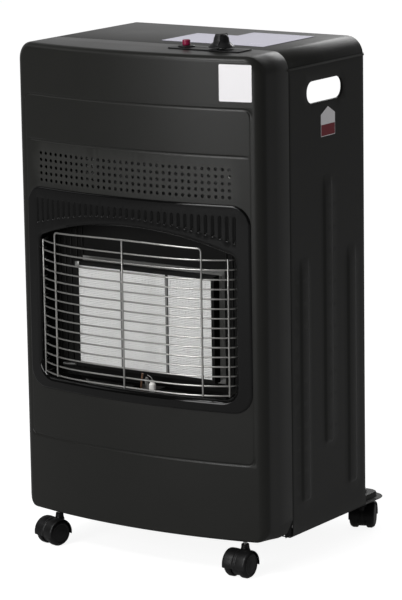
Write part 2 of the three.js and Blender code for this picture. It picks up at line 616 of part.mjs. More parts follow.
function thermocouple() {
  const { thermoX, thermoTopZ, thermoR, plateZ, y } = pilot;
  const tip = tube(bent([
    [thermoX, y, plateZ - 4], [thermoX, y, plateZ + 8], [thermoX + 2.6, y + 1, thermoTopZ],
  ], 4, 2), thermoR, 8);
  const nut = rod(thermoX, y, thermoR + 1.5, plateZ + sheet + gap, plateZ + sheet + 5, 6);
  const lead = tube(bent([
    [thermoX, y, plateZ - 3], [thermoX, y, 226], [thermoX, 60, 226], [172, 60, 226], [172, 60, thermoPortZ],
    [knob.x + valve.width / 2 + 6 + gap, 60 - 9, thermoPortZ],
  ], pipe.bend), pipe.capillaryR);
  return join(tip, nut, lead);
}

function electrodeInsulator() {
  const { sparkX: x, y, insulatorTopZ: top, insulatorR: r, insulatorNeckR: neck, plateZ } = pilot;
  const shoulder = plateZ + sheet + gap;
  const bore = 0.8;
  return turned([
    point(bore, plateZ - 8), point(neck, plateZ - 8), point(neck, shoulder), point(r, shoulder + 3),
    point(r, top - 5.5), point(neck, top - 3.5), point(neck - 0.3, top), point(bore, top), point(bore, plateZ - 8),
  ], 12, x, y);
}

function electrodeTip() {
  const { sparkX: x, y, insulatorTopZ: top, burnerX } = pilot;
  return tube(bent([
    [x, y, top - 10], [x, y, top + 3.5], [burnerX + 1, y, top + 7],
  ], 3, 2), 0.5, 6);
}

// ---------------------------------------------------------------- gas train and controls
const valvePortZ = 678;
const pilotPortZ = 700;
const thermoPortZ = 686;
const valveCentreX = knob.x;
function gasValve() {
  const x0 = valveCentreX - valve.width / 2;
  const x1 = valveCentreX + valve.width / 2;
  const neckTop = washer.z - knob.press - gap;
  const portY = (valve.frontY + valve.rearY) / 2 + 4;
  const body = alongZ(roundedRectangle(x0, x1, valve.frontY, valve.rearY, 4, 2), valve.bottomZ, valve.topZ);
  const neck = rod(knob.x, knob.y, valve.neckR, valve.topZ - 1, neckTop, 16);
  const supply = alongY(circle(valveCentreX, valvePortZ, valve.portR, 12), valve.rearY - 1, inlet.portEndY);
  const outlet = rod(valveCentreX, portY, valve.portR, valve.bottomZ - valve.outletLength, valve.bottomZ + 1);
  const pilotPort = alongX(circle(valve.rearY - 7, pilotPortZ, 4, 8), x1 - 1, x1 + 6);
  const thermoPort = alongX(circle(valve.rearY - 7, thermoPortZ, 4, 8), x1 - 1, x1 + 6);
  return cut(
    join(body, neck, supply, outlet, pilotPort, thermoPort),
    rod(knob.x, knob.y, spindle.r + gap, spindle.bottomZ - knob.press - gap, neckTop + 5, 16),
    alongY(circle(valveCentreX, valvePortZ, inlet.boreR, 8), valve.rearY + 4, inlet.portEndY + 5));
}

function valveBracket() {
  const x0 = valveCentreX - bracket.width / 2;
  const x1 = valveCentreX + bracket.width / 2;
  const topZ = topInnerZ - gap;
  const head = box(x0, x1, bracket.frontY, bracket.rearY, topZ - sheet, topZ);
  const leg = box(x0, x1, valve.rearY + gap, valve.rearY + gap + sheet, valve.bottomZ, topZ);
  return cut(
    join(head, leg), rod(knob.x, knob.y, valve.neckR + 1.5, topZ - 5, topZ + 5, 16),
    alongY(circle(valveCentreX, valvePortZ, valve.portR + 0.5, 12), valve.rearY - 5, valve.rearY + 5));
}

function gasInlet() {
  const { boreR, barbR, rootR, hexR, hexLength, barbs, barbPitch, portEndY } = inlet;
  const start = portEndY + gap;
  const profile = [point(boreR, start), point(hexR, start), point(hexR, start + hexLength), point(rootR, start + hexLength + 1)];
  for (let k = 0; k < barbs; k += 1) {
    const foot = start + hexLength + 3 + k * barbPitch;
    profile.push(point(rootR, foot), point(barbR, foot + 1), point(rootR, foot + barbPitch - 1));
  }
  const end = start + hexLength + 4 + barbs * barbPitch;
  profile.push(point(rootR, end), point(boreR, end), point(boreR, start));
  return new THREE.LatheGeometry(profile, 12).translate(valveCentreX, 0, valvePortZ);
}

function mainGasPipe() {
  const portY = (valve.frontY + valve.rearY) / 2 + 4;
  return tube(bent([
    [valveCentreX, portY, valve.bottomZ - valve.outletLength - gap], [valveCentreX, portY, 560],
    [injectorEndX + 22, burner.mouthY, 520], [injectorEndX + 22, burner.mouthY, burner.mouthZ],
    [injectorEndX + gap, burner.mouthY, burner.mouthZ],
  ], pipe.bend), pipe.mainR, 8);
}

function gasInjector() {
  const { mouthY, mouthZ } = burner;
  const headX = injectorArmX + sheet + gap;
  const head = alongX(circle(mouthY, mouthZ, 7, 6), headX, injectorEndX);
  const nose = alongX(circle(mouthY, mouthZ, 5, 12), injectorArmX - 5, headX + 1);
  const tip = alongX(circle(mouthY, mouthZ, 2.6, 12), injectorArmX - 9, injectorArmX - 4);
  const bore = alongX(circle(mouthY, mouthZ, 0.8, 6), injectorArmX - 15, injectorEndX + 5);
  return cut(join(head, nose, tip), bore);
}

function pilotPipe() {
  const { burnerX, y, plateZ } = pilot;
  const portX = valveCentreX + valve.width / 2 + 6 + gap;
  return tube(bent([
    [burnerX, y, plateZ - 6 - gap], [burnerX, y, 235], [burnerX, 52, 235], [182, 52, 235],
    [182, 52, pilotPortZ], [portX, valve.rearY - 7, pilotPortZ],
  ], pipe.bend), pipe.pilotR);
}

function ignitionLead() {
  const { x, y, barrelBottomZ, terminalLength } = igniter;
  const top = barrelBottomZ - terminalLength - gap;
  return tube(bent([
    [x, y, top], [x, y, top - 60], [x - 21, 65, 560], [x - 21, 65, 450], [x - 25, 65, 340], [x - 24, 65, 216],
    [pilot.sparkX, pilot.y, 216], [pilot.sparkX, pilot.y, pilot.plateZ - 8 - gap],
  ], pipe.bend), pipe.leadR);
}

function controlPlate() {
  const { centreX, centreY, length, width, thickness } = plate;
  const z0 = cabinet.topZ + gap;
  const outline = roundedRectangle(
    centreX - length / 2, centreX + length / 2, centreY - width / 2, centreY + width / 2, width / 2 - 1, 5);
  return cut(
    alongZ(outline, z0, z0 + thickness),
    rod(knob.x, knob.y, washer.outerR + 1.4, z0 - 5, z0 + 5, 16),
    rod(igniter.x, igniter.y, igniter.barrelR + gap, z0 - 5, z0 + 5, 16));
}

const knobBottomZ = plateTopZ + knob.press + gap;
function controlKnob() {
  const { x, y, skirtR, bodyR, topR, height, skirtHeight, edge, gripWidth, gripFrontR, boreR, boreDepth } = knob;
  const topZ = plateTopZ + height;
  const shoulderZ = knobBottomZ + skirtHeight;
  const bodyTopZ = topZ - 5;
  const body = turned([
    point(0, knobBottomZ), point(skirtR, knobBottomZ), point(skirtR, knobBottomZ + edge), point(bodyR + 2, shoulderZ - 2),
    point(bodyR, shoulderZ), point(topR, bodyTopZ), point(topR - 2, topZ - 1.2), point(0, topZ - 0.4),
  ], 20, x, y);
  const grip = alongX([
    point(y - gripFrontR, knobBottomZ + edge), point(y + bodyR, knobBottomZ + edge), point(y + bodyR, shoulderZ),
    point(y + topR, topZ - 3.5), point(y + topR - 3, topZ - 0.8), point(y + topR - 6, topZ), point(y - topR + 5, topZ),
    point(y - topR + 1, topZ - 1.5), point(y - topR - 1, topZ - 5), point(y - gripFrontR + 2, shoulderZ - 1),
  ], x - gripWidth / 2, x + gripWidth / 2);
  return cut(join(body, grip), rod(x, y, boreR, knobBottomZ - 5, knobBottomZ + boreDepth, 16));
}

function valveSpindle() {
  return join(
    rod(knob.x, knob.y, spindle.r, spindle.bottomZ, washer.z - gap, 16),
    rod(knob.x, knob.y, spindle.r - 1.2, washer.z - gap - 1, washer.z + washer.thickness + gap + 1, 16),
    rod(knob.x, knob.y, spindle.r, washer.z + washer.thickness + gap, knobBottomZ + knob.boreDepth - gap, 16));
}

function thrustWasher() {
  const bore = spindle.r - 1.2 + gap;
  return cut(
    rod(knob.x, knob.y, washer.outerR, washer.z, washer.z + washer.thickness, 16),
    rod(knob.x, knob.y, bore, washer.z - 5, washer.z + 5, 16));
}

const collarTopZ = plateTopZ + gap + igniter.collarHeight;
function igniterBody() {
  const { x, y, collarR, barrelR, barrelBottomZ, buttonR, travel, terminalR, terminalLength } = igniter;
  return cut(
    join(
      rod(x, y, collarR, plateTopZ + gap, collarTopZ, 20), rod(x, y, barrelR, barrelBottomZ, plateTopZ + 1, 16),
      rod(x, y, terminalR, barrelBottomZ - terminalLength, barrelBottomZ + 1, 8)),
    rod(x, y, buttonR + gap, collarTopZ - 12 - travel - gap, collarTopZ + 5, 16));
}

function igniterButton() {
  const { x, y, buttonR, buttonHeight } = igniter;
  return turned([
    point(0, collarTopZ - 12), point(buttonR, collarTopZ - 12), point(buttonR, collarTopZ + buttonHeight - 1.5),
    point(buttonR - 1.5, collarTopZ + buttonHeight), point(0, collarTopZ + buttonHeight),
  ], 16, x, y);
}

function igniterNut() {
  const { x, y, nutAcross, nutHeight, barrelR } = igniter;
  const top = topInnerZ - gap;
  return cut(alongZ(hexagon(x, y, nutAcross), top - nutHeight, top), rod(x, y, barrelR + gap, top - 20, top + 5, 16));
}

// ---------------------------------------------------------------- labels
function frontLabelPlate() {
  const { minX, maxX, bottomZ, topZ } = frontLabel;
  return alongZ(bowBand(minX, maxX, -gap - label.thickness, -gap), bottomZ, topZ);
}
function sideLabelPlate() {
  const { minY, maxY, bottomZ, shoulderZ, apexZ } = sideLabel;
  const outline = [
    point(minY, bottomZ), point(maxY, bottomZ), point(maxY, shoulderZ), point((minY + maxY) / 2, apexZ), point(minY, shoulderZ),
  ];
  const x0 = cabinet.halfWidth + gap;
  return alongX(outline, x0, x0 + label.thickness);
}
function topLabelPlate() {
  const { minX, middleX, maxX, frontY, shortRearY, rearY } = topLabel;
  const outline = [
    point(minX, frontY), point(maxX, frontY), point(maxX, rearY), point(middleX, rearY),
    point(middleX, shortRearY), point(minX, shortRearY),
  ];
  return alongZ(outline, cabinet.topZ + gap, cabinet.topZ + gap + label.thickness);
}

// ---------------------------------------------------------------- casters
// In a caster's own group the stem's axis is Z, the axle lies along X and the wheels trail to -Y.
const axleY = -caster.trail;
const wheelInnerX = caster.webHalf + caster.sideGap;
function casterHood() {
  const { roofR, roofThickness, roofDrop, neckR, neckTopZ, webHalf, webR, wheelR, pinR, pinBottomZ } = caster;
  const half = wheelInnerX + caster.wheelWidth + gap;
  const drop = Math.asin(roofDrop / roofR) / deg;
  const roof = alongX(arc(axleY, wheelR, roofR, -drop, 180 + drop, 12), -half, half);
  const neck = rod(0, 0, neckR, wheelR + 6, neckTopZ, 12);
  const web = alongX(circle(axleY, wheelR, webR, 24), -webHalf, webHalf);
  const pocket = (x0, x1) => alongX(circle(axleY, wheelR, roofR - roofThickness, 24), x0, x1);
  return cut(
    join(roof, neck, web), pocket(webHalf, half + 5), pocket(-half - 5, -webHalf),
    rod(0, 0, pinR + gap, pinBottomZ - gap, neckTopZ + 5, 12),
    alongX(circle(axleY, wheelR, caster.axleR + gap, 12), -half - 5, half + 5));
}

function casterWheel(side) {
  const { wheelR, wheelWidth: w, wheelSides, axleR } = caster;
  const bore = axleR + gap;
  const grow = 1 / Math.cos(Math.PI / wheelSides);
  const profile = [
    [bore, 0], [wheelR - 1.5, 0], [wheelR, 1.5], [wheelR, w - 5], [wheelR - 2, w - 1.6], [wheelR - 6, w], [bore, w], [bore, 0],
  ].map(([r, h]) => point(r * grow, h));
  const wheel = new THREE.LatheGeometry(profile, wheelSides, Math.PI / wheelSides, 2 * Math.PI);
  wheel.rotateZ(-Math.PI / 2).translate(wheelInnerX, 0, 0);
  if (side < 0) wheel.rotateZ(Math.PI);
  return wheel.translate(0, axleY, wheelR);
}

function casterStem() {
  const { pinR, pinBottomZ, collarR, collarHeight, threadR, threadLength } = caster;
  const collarTopZ = floorZ - groundZ - gap;
  const threadTopZ = floorTopZ - groundZ + threadLength;
  return turned([
    point(0, pinBottomZ), point(pinR, pinBottomZ), point(pinR, collarTopZ - collarHeight - 1.5),
    point(collarR, collarTopZ - collarHeight), point(collarR, collarTopZ), point(threadR, collarTopZ),
    point(threadR, threadTopZ), point(0, threadTopZ),
  ], 12);
}

function casterNut() {
  const z0 = floorTopZ - groundZ + gap;
  return cut(
    alongZ(hexagon(0, 0, caster.nutAcross), z0, z0 + caster.nutHeight),
    rod(0, 0, caster.threadR + gap, z0 - 5, z0 + caster.nutHeight + 5));
}

function casterAxle() {
  const half = wheelInnerX + caster.wheelWidth;
  return alongX(circle(axleY, caster.wheelR, caster.axleR, 12), -half + gap, half - gap);
}

// ---------------------------------------------------------------- assembly
const right = sidePanelRight();
place('front_panel', frontPanel(), material.casing);
place('side_panel_right', right, material.casing);
place('side_panel_left', mirrored(right), material.casing);
place('top_cover', topCoverBody(), material.casing);
place('base_plate', basePlate(), material.casing);
place('heat_shield', heatShield(), material.steel);

place('window_surround', windowSurround(), material.enamel);
place('guard_grille', guardGrille(), material.chrome);
place('reflector', reflector(), material.chamber);

place('burner_body', burnerBody(), material.steel);
place('burner_frame', burnerFrame(), material.steel);
['left', 'centre', 'right'].forEach((side, k) => {
  place(`ceramic_plaque_${side}`, ceramicPlaque(k - 1), material.ceramic);
});

place('pilot_bracket', pilotBracket(), material.steel);
place('pilot_burner', pilotBurner(), material.steel);
place('thermocouple', thermocouple(), material.copper);
place('electrode_insulator', electrodeInsulator(), material.porcelain);
place('electrode_tip', electrodeTip(), material.steel);
place('ignition_lead', ignitionLead(), material.lead);

place('gas_valve', gasValve(), material.brass);
place('valve_bracket', valveBracket(), material.steel);
place('gas_inlet_tail', gasInlet(), material.brass);
place('main_gas_pipe', mainGasPipe(), material.steel);
place('gas_injector', gasInjector(), material.brass);
place('pilot_pipe', pilotPipe(), material.copper);

place('control_plate', controlPlate(), material.plastic);
place('control_knob', controlKnob(), material.plastic);
place('valve_spindle', valveSpindle(), material.steel);
place('thrust_washer', thrustWasher(), material.steel);
place('igniter_body', igniterBody(), material.plastic);
place('igniter_button', igniterButton(), material.red);
place('igniter_nut', igniterNut(), material.steel);

place('front_label', frontLabelPlate(), material.label);
place('side_label', sideLabelPlate(), material.label);
place('top_label', topLabelPlate(), material.label);

for (const { name, x, y, turn } of casters) {
  const group = new THREE.Group();
  group.position.set(x, y, groundZ);
  group.rotation.z = turn * deg;
  heater.add(group);
  place(`caster_${name}_stem`, casterStem(), material.steel, group);
  place(`caster_${name}_nut`, casterNut(), material.steel, group);
  place(`caster_${name}_hood`, casterHood(), material.plastic, group);
  place(`caster_${name}_axle`, casterAxle(), material.steel, group);
  place(`caster_${name}_wheel_a`, casterWheel(1), material.plastic, group);
  place(`caster_${name}_wheel_b`, casterWheel(-1), material.plastic, group);
}

// Centre the model from front to rear, and set its wheels on z = 0.
const extent = new THREE.Box3().setFromObject(heater, true);
heater.position.set(0, -(extent.min.y + extent.max.y) / 2, -groundZ);

export default heater;
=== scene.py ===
"""Looks of the portable gas cabinet heater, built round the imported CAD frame. Lengths are in millimetres."""
import bpy
import numpy as np
from numpy.linalg import norm
from math import asin, atan2, ceil, cos, degrees, pi, radians, sin, sqrt
from mathutils import Matrix, Vector
from mathutils.geometry import delaunay_2d_cdt
from types import SimpleNamespace as Sizes


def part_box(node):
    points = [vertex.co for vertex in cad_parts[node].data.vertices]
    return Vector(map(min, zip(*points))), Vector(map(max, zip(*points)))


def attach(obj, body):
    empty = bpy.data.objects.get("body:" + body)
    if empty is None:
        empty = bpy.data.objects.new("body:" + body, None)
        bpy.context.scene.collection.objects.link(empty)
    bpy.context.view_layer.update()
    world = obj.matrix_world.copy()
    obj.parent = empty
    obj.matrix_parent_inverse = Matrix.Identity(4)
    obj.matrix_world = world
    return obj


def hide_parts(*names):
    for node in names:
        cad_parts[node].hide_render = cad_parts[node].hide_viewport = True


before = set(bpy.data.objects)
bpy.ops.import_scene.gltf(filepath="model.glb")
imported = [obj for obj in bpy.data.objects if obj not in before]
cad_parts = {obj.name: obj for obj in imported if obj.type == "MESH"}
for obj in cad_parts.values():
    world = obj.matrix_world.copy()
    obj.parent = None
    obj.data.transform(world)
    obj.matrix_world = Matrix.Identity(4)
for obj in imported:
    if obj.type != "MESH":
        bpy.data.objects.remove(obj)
SCENE = bpy.context.scene
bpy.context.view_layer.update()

# ---- driving dimensions, as in the CAD part
HALF, TOP, BOTTOM, SEAM, REAR, BOW = 206.0, 733.3, 55.8, 68.0, 266.7, 27.1
CORNER = 25.8  # radius of the cabinet's upper corners
SHEET, GAP = 1.2, 0.3
REAR_FRONT = SEAM + 0.8  # where the rear casings begin
FLOOR = BOTTOM + SHEET + GAP
FLOOR_TOP = FLOOR + SHEET
GROUND = 1.2
KNOB, IGNITER = (113.0, 44.0), (55.0, 44.0)  # (x, y) of the two controls
KNOB_HOLE, IGNITER_HOLE = 7.4, 7.9  # radii in the casing and in the control plate
PLATE = 1.2  # thickness of the control plate
PLATE_TOP = TOP + GAP + PLATE
WINDOW = (166, 256, 487.5, 457, 22)  # half width, bottom, crest, springing, corner radius
CASTERS = [("front_left", -161.5, 15, -15), ("front_right", 160.5, 15, 0),
           ("rear_left", -180, 298, 165), ("rear_right", 180, 298, 202)]  # name, x, y, turn in degrees
CASTER_HOLE = 4.3
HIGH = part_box("top_cover")[1]
SHIFT = np.array((0.0, HIGH.y * 1000 - REAR, HIGH.z * 1000 - TOP))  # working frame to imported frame


def bow(x):
    """Depth of the front's face at x."""
    return -BOW * (1 - (np.asarray(x, float) / HALF) ** 2)


def put(target, **settings):
    for key, value in settings.items():
        setattr(target, key, value)
    return target


def show(name, data):
    obj = bpy.data.objects.new(name, data)
    SCENE.collection.objects.link(obj)
    return obj


def towards(azimuth, height):
    """The direction of a bearing from the front and a height, in degrees."""
    az, el = radians(azimuth), radians(height)
    return Vector((sin(az) * cos(el), -cos(az) * cos(el), sin(el)))


# ---- camera
CAMERA = Sizes(azimuth=34.0130398, height=11.5951525, roll=-0.8946573, distance=4574.1007318,
              target=(6.884808, 141.4359202, 355.353846), focal_pixels=3183.3531749, picture_pixels=600)
SENSOR = 36


def camera():
    data = bpy.data.cameras.new("camera")
    cam = show("camera", data)
    back, roll = towards(CAMERA.azimuth, CAMERA.height), radians(CAMERA.roll)
    right = (-back).cross(Vector((0, 0, 1))).normalized()
    up = right.cross(-back).normalized()
    across = right * cos(roll) + up * sin(roll)
    upward = up * cos(roll) - right * sin(roll)
    place = (Vector(CAMERA.target) + back * CAMERA.distance + Vector(SHIFT)) / 1000
    cam.matrix_world = Matrix([[across[i], upward[i], back[i], place[i]] for i in range(3)] + [[0, 0, 0, 1]])
    put(data, sensor_fit="VERTICAL", sensor_height=SENSOR, clip_end=50,
        lens=CAMERA.focal_pixels / CAMERA.picture_pixels * SENSOR)
    SCENE.camera = cam


# ---- materials
MATERIALS = {}
CLOUDS = 14.0  # scale of the broad clouds in every finish
WEAR_FROM, WEAR_TO = 0.515, 0.6  # pointiness where a worn edge begins and is full


def feed(tree, target, inputs):
    """Sets a node's inputs to values, or links them to sockets."""
    for key, value in inputs.items():
        if isinstance(value, bpy.types.NodeSocket):
            tree.links.new(value, target.inputs[key])
        else:
            target.inputs[key].default_value = value


def node(tree, kind, inputs=None, **settings):
    made = put(tree.nodes.new("ShaderNode" + kind), **settings)
    feed(tree, made, inputs or {})
    return made


def maths(tree, operation, *values):
    return node(tree, "Math", dict(enumerate(values)), operation=operation).outputs[0]


def finish(name, color, rough, metallic=0.0, spec=0.5, grain=900, bump=0.05, depth=0.0006, vary=0.12,
           rough_vary=0.06, stretch=(1, 1, 1), coat=0.0, wear=0.0):
    """A procedural finish: fine grain in the bump, broad clouds in colour and roughness, paler worn edges."""
    made = bpy.data.materials.new(name)
    made.use_nodes = True
    tree = made.node_tree
    at = node(tree, "TexCoord").outputs["Object"]
    drawn = node(tree, "Mapping", {"Vector": at, "Scale": stretch}).outputs[0]
    fine = node(tree, "TexNoise", {"Vector": drawn, "Scale": grain, "Detail": 3}).outputs[0]
    broad = node(tree, "TexNoise", {"Vector": at, "Scale": CLOUDS, "Detail": 5}).outputs[0]
    blend = maths(tree, "MULTIPLY_ADD", broad, 0.65, maths(tree, "MULTIPLY", fine, 0.35))
    low, high = ([min(c * k, 1) for c in color] + [1] for k in (1 - vary, 1 + vary))
    tone = node(tree, "Mix", {0: blend, 6: low, 7: high}, data_type="RGBA").outputs[2]
    if wear:
        edge = node(tree, "ValToRGB", {0: node(tree, "NewGeometry").outputs["Pointiness"]})
        for element, position in zip(edge.color_ramp.elements, (WEAR_FROM, WEAR_TO)):
            element.position = position
        worn = [min(c * 3 + 0.03, 1) for c in color] + [1]
        level = maths(tree, "MULTIPLY", edge.outputs[0], wear)
        tone = node(tree, "Mix", {0: level, 6: tone, 7: worn}, data_type="RGBA").outputs[2]
    span = node(tree, "MapRange", {"Value": blend, "To Min": rough - rough_vary, "To Max": rough + rough_vary})
    relief = node(tree, "Bump", {"Height": fine, "Strength": bump, "Distance": depth})
    feed(tree, tree.nodes["Principled BSDF"], {
        "Base Color": tone, "Roughness": span.outputs[0], "Normal": relief.outputs[0], "Metallic": metallic,
        "IOR": 1.5, "Specular IOR Level": spec, "Coat Weight": coat, "Coat Roughness": 0.12})
    MATERIALS[name] = made


def materials():
    finish("casing", (0.0100, 0.0101, 0.0090), 0.36, spec=0.26, grain=1500, bump=0.10, depth=0.0003, vary=0.10,
           wear=0.25)
    finish("window_enamel", (0.0022, 0.0022, 0.0022), 0.08, spec=0.27, grain=700, bump=0.03, vary=0.2,
           rough_vary=0.02)
    finish("wire_chrome", (0.42, 0.415, 0.40), 0.34, metallic=1, grain=400, bump=0.06, vary=0.08)
    # the chamber's steel is painted near black as painted shade for the shadowed inside of the chamber
    finish("chamber_steel", (0.0065, 0.0065, 0.0062), 0.52, spec=0.12, grain=420, bump=0.12,
           stretch=(1, 1, 0.1), vary=0.25)
    finish("bare_steel", (0.40, 0.40, 0.39), 0.30, metallic=1, grain=600, bump=0.08)
    # grey steel, darkened below its galvanised tone as painted shade seen through the grille's holes
    finish("shield_steel_painted_shade", (0.20, 0.20, 0.20), 0.42, metallic=0.9, grain=300, bump=0.10,
           stretch=(1, 1, 0.12), vary=0.10)
    finish("ceramic", (0.88, 0.88, 0.87), 0.92, grain=1600, bump=0.35, vary=0.05, rough_vary=0.03)
    finish("porcelain", (0.80, 0.79, 0.76), 0.18, grain=500, bump=0.03, vary=0.04, coat=0.4)
    finish("fibre_cord", (0.15, 0.15, 0.145), 0.8, spec=0.2, grain=1100, bump=0.3, vary=0.15)
    finish("brass", (0.50, 0.33, 0.12), 0.30, metallic=1, grain=500, bump=0.06)
    finish("copper", (0.34, 0.20, 0.13), 0.36, metallic=1, grain=400, bump=0.08, vary=0.25)
    finish("black_plastic", (0.0065, 0.0065, 0.0068), 0.40, spec=0.25, grain=1300, bump=0.16, depth=0.0004,
           vary=0.15, wear=0.15)
    finish("red_plastic", (0.19, 0.004, 0.035), 0.34, vary=0.08)
    finish("lead_sheath", (0.48, 0.46, 0.41), 0.55, grain=1200, bump=0.10, vary=0.08)
    finish("label_film", (0.76, 0.745, 0.76), 0.34, grain=800, bump=0.03, vary=0.02, rough_vary=0.04)
    finish("lavender_film", (0.60, 0.585, 0.70), 0.26, grain=800, bump=0.03, vary=0.03, rough_vary=0.05)
    finish("label_red", (0.17, 0.005, 0.014), 0.45, bump=0.03, vary=0.05)


# ---- outlines
def arc(cx, cy, r, start, end, steps):
    a = np.radians(np.linspace(start, end, steps + 1))
    return np.stack((cx + r * np.cos(a), cy + r * np.sin(a)), 1)


def circle(cx, cy, r, sides):
    return arc(cx, cy, r, 0, 360 - 360 / sides, sides - 1)


def rounded(x0, x1, y0, y1, r, steps=8):
    return np.vstack((arc(x1 - r, y0 + r, r, -90, 0, steps), arc(x1 - r, y1 - r, r, 0, 90, steps),
                      arc(x0 + r, y1 - r, r, 90, 180, steps), arc(x0 + r, y0 + r, r, 180, 270, steps)))


def resample(loop, spacing, closed=True):
    """The same line with no stretch longer than spacing."""
    loop = np.asarray(loop, float)
    ends = np.roll(loop, -1, 0) if closed else loop[1:]
    out = []
    for a, b in zip(loop, ends):
        steps = max(1, ceil(norm(b - a) / spacing - 1e-6))
        out += [a + (b - a) * k / steps for k in range(steps)]
    if not closed:
        out.append(loop[-1])
    return np.array(out)


def softened(profile, radius, steps=3):
    """The line with its inner corners rounded."""
    p = [np.array(q, float) for q in profile]
    out = [p[0]]
    for a, b, c in zip(p, p[1:], p[2:]):
        one, two = a - b, c - b
        reach = min(radius, norm(one) / 2.05, norm(two) / 2.05)
        if reach < 1e-3:
            out.append(b)
            continue
        s, e = b + one / norm(one) * reach, b + two / norm(two) * reach
        out += [(1 - t) ** 2 * s + 2 * t * (1 - t) * b + t * t * e for t in np.linspace(0, 1, steps + 1)]
    return np.array([*out, p[-1]])


def normals_2d(loop):
    """Outward normals of a closed loop that runs anticlockwise."""
    step = np.roll(loop, -1, 0) - loop
    step /= np.maximum(norm(step, axis=1), 1e-9)[:, None]
    side = np.stack((step[:, 1], -step[:, 0]), 1)
    both = side + np.roll(side, 1, 0)
    scale = 2 / np.maximum((both ** 2).sum(1), 0.5)
    return both * scale[:, None]


def quarter(r, *angles):
    """(depth, inset) of a rounded edge of radius r, from 90 degrees on the face to 0 on the side."""
    return [(r * (1 - sin(a)), r * (1 - cos(a))) for a in np.radians(angles)]


def ease(t):
    t = np.clip(t, 0, 1)
    return t * t * (3 - 2 * t)


def rectangle_distance(p, half, z0, z1, r):
    """Signed distance from a rounded rectangle about x = 0, negative inside."""
    q = np.abs(p - (0, (z0 + z1) / 2)) - (half - r, (z1 - z0) / 2 - r)
    return norm(np.maximum(q, 0), axis=1) + np.minimum(q.max(1), 0) - r


def inside(points, loop):
    x, y = points[:, 0][:, None], points[:, 1][:, None]
    a, b = loop, np.roll(loop, -1, 0)
    above = (a[:, 1] > y) != (b[:, 1] > y)
    dy = np.where(b[:, 1] == a[:, 1], 1e-12, b[:, 1] - a[:, 1])
    crossing = a[:, 0] + (y - a[:, 1]) / dy * (b[:, 0] - a[:, 0])
    return (above & (x < crossing)).sum(1) % 2 == 1


def to_loop(points, loop):
    """Distance of each point from a closed line."""
    best = np.full(len(points), 1e9)
    for s, e in zip(loop, np.roll(loop, -1, 0)):
        d = e - s
        t = np.clip(((points - s) @ d) / max(d @ d, 1e-12), 0, 1)
        best = np.minimum(best, norm(points - (s + t[:, None] * d), axis=1))
    return best


def pairs(base, count, closed=True):
    """The index pairs along a line of points."""
    return [(base + i, base + (i + 1) % count) for i in range(count if closed else count - 1)]


def facing(flat, y):
    """Points at (x, z) and depth y."""
    return np.column_stack((flat[:, 0], np.broadcast_to(y, len(flat)), flat[:, 1]))


def sideways(x, flat):
    """Points at (y, z) and distance x from the middle."""
    return np.column_stack((np.broadcast_to(x, len(flat)), flat))


def level(flat, z):
    """Points at (x, y) and height z."""
    return np.column_stack((flat, np.broadcast_to(z, len(flat))))


# ---- meshes
class Body:
    """Points and faces in the working frame."""

    def __init__(self, points=(), faces=()):
        self.points = np.asarray(points, float).reshape(-1, 3)
        self.faces = [tuple(int(i) for i in f) for f in faces]

    def add(self, other):
        base = len(self.points)
        self.points = np.vstack((self.points, other.points))
        self.faces += [tuple(i + base for i in f) for f in other.faces]
        return self

    def append(self, points):
        base = len(self.points)
        self.points = np.vstack((self.points, points))
        return np.arange(base, base + len(points))

    def bridge(self, one, two, closed=True):
        count = len(one)
        for i in range(count if closed else count - 1):
            j = (i + 1) % count
            self.faces.append((one[i], one[j], two[j], two[i]))

    def grow(self, row, points, closed=True, hole=False):
        """Adds a row of points beside an older one, which may bound a hole."""
        new = self.append(points)
        self.bridge(*((row, new) if hole else (new, row)), closed)
        return new

    def moved(self, matrix, shift=(0, 0, 0)):
        return Body(self.points @ np.asarray(matrix, float).T + np.asarray(shift, float), self.faces)

    def mirrored(self):
        return Body(self.points * (-1, 1, 1), [f[::-1] for f in self.faces])

    def normals(self):
        out = np.zeros_like(self.points)
        for f in self.faces:
            p = self.points[list(f)]
            for i in range(len(f)):
                a, b = p[(i + 1) % len(f)] - p[i], p[i - 1] - p[i]
                c = np.cross(a, b)
                size = norm(c)
                if size > 1e-12:
                    out[f[i]] += c / size * atan2(size, float(a @ b))
        return out / np.maximum(norm(out, axis=1), 1e-9)[:, None]

    def shell(self, thickness):
        """An open sheet made into a closed one: its points are the outer face."""
        inner = self.points - self.normals() * thickness
        count = len(self.points)
        edges = dict.fromkeys((a, f[(i + 1) % len(f)]) for f in self.faces for i, a in enumerate(f))
        faces = list(self.faces) + [tuple(i + count for i in f[::-1]) for f in self.faces]
        faces += [(b, a, a + count, b + count) for a, b in edges if (b, a) not in edges]
        return Body(np.vstack((self.points, inner)), faces)


def lofted(rows, closed=True):
    """Rows of points joined by faces: a solid with end caps, or an open sheet."""
    b = Body()
    rings = [b.append(row) for row in rows]
    for one, two in zip(rings, rings[1:]):
        b.bridge(one, two, closed)
    if closed:
        b.faces += [tuple(rings[0][::-1]), tuple(rings[-1])]
    return b


def as_mesh(body, name="body"):
    me = bpy.data.meshes.new(name)
    me.from_pydata(body.points.tolist(), [], body.faces)
    me.update()
    return me


def boolean(body, tool, operation):
    work, other = show("work", as_mesh(body)), show("tool", as_mesh(tool))
    put(work.modifiers.new("boolean", "BOOLEAN"), operation=operation, solver="MANIFOLD", object=other)
    done = work.evaluated_get(bpy.context.evaluated_depsgraph_get())
    me = done.to_mesh()
    out = Body([v.co[:] for v in me.vertices], [tuple(p.vertices) for p in me.polygons])
    done.to_mesh_clear()
    for obj in (work, other):
        bpy.data.objects.remove(obj)
    if not out.faces:
        raise RuntimeError("a boolean left nothing")
    return out


def cut(body, *tools):
    for tool in tools:
        body = boolean(body, tool, "DIFFERENCE")
    return body


def join(body, *others):
    for other in others:
        body = boolean(body, other, "UNION")
    return body


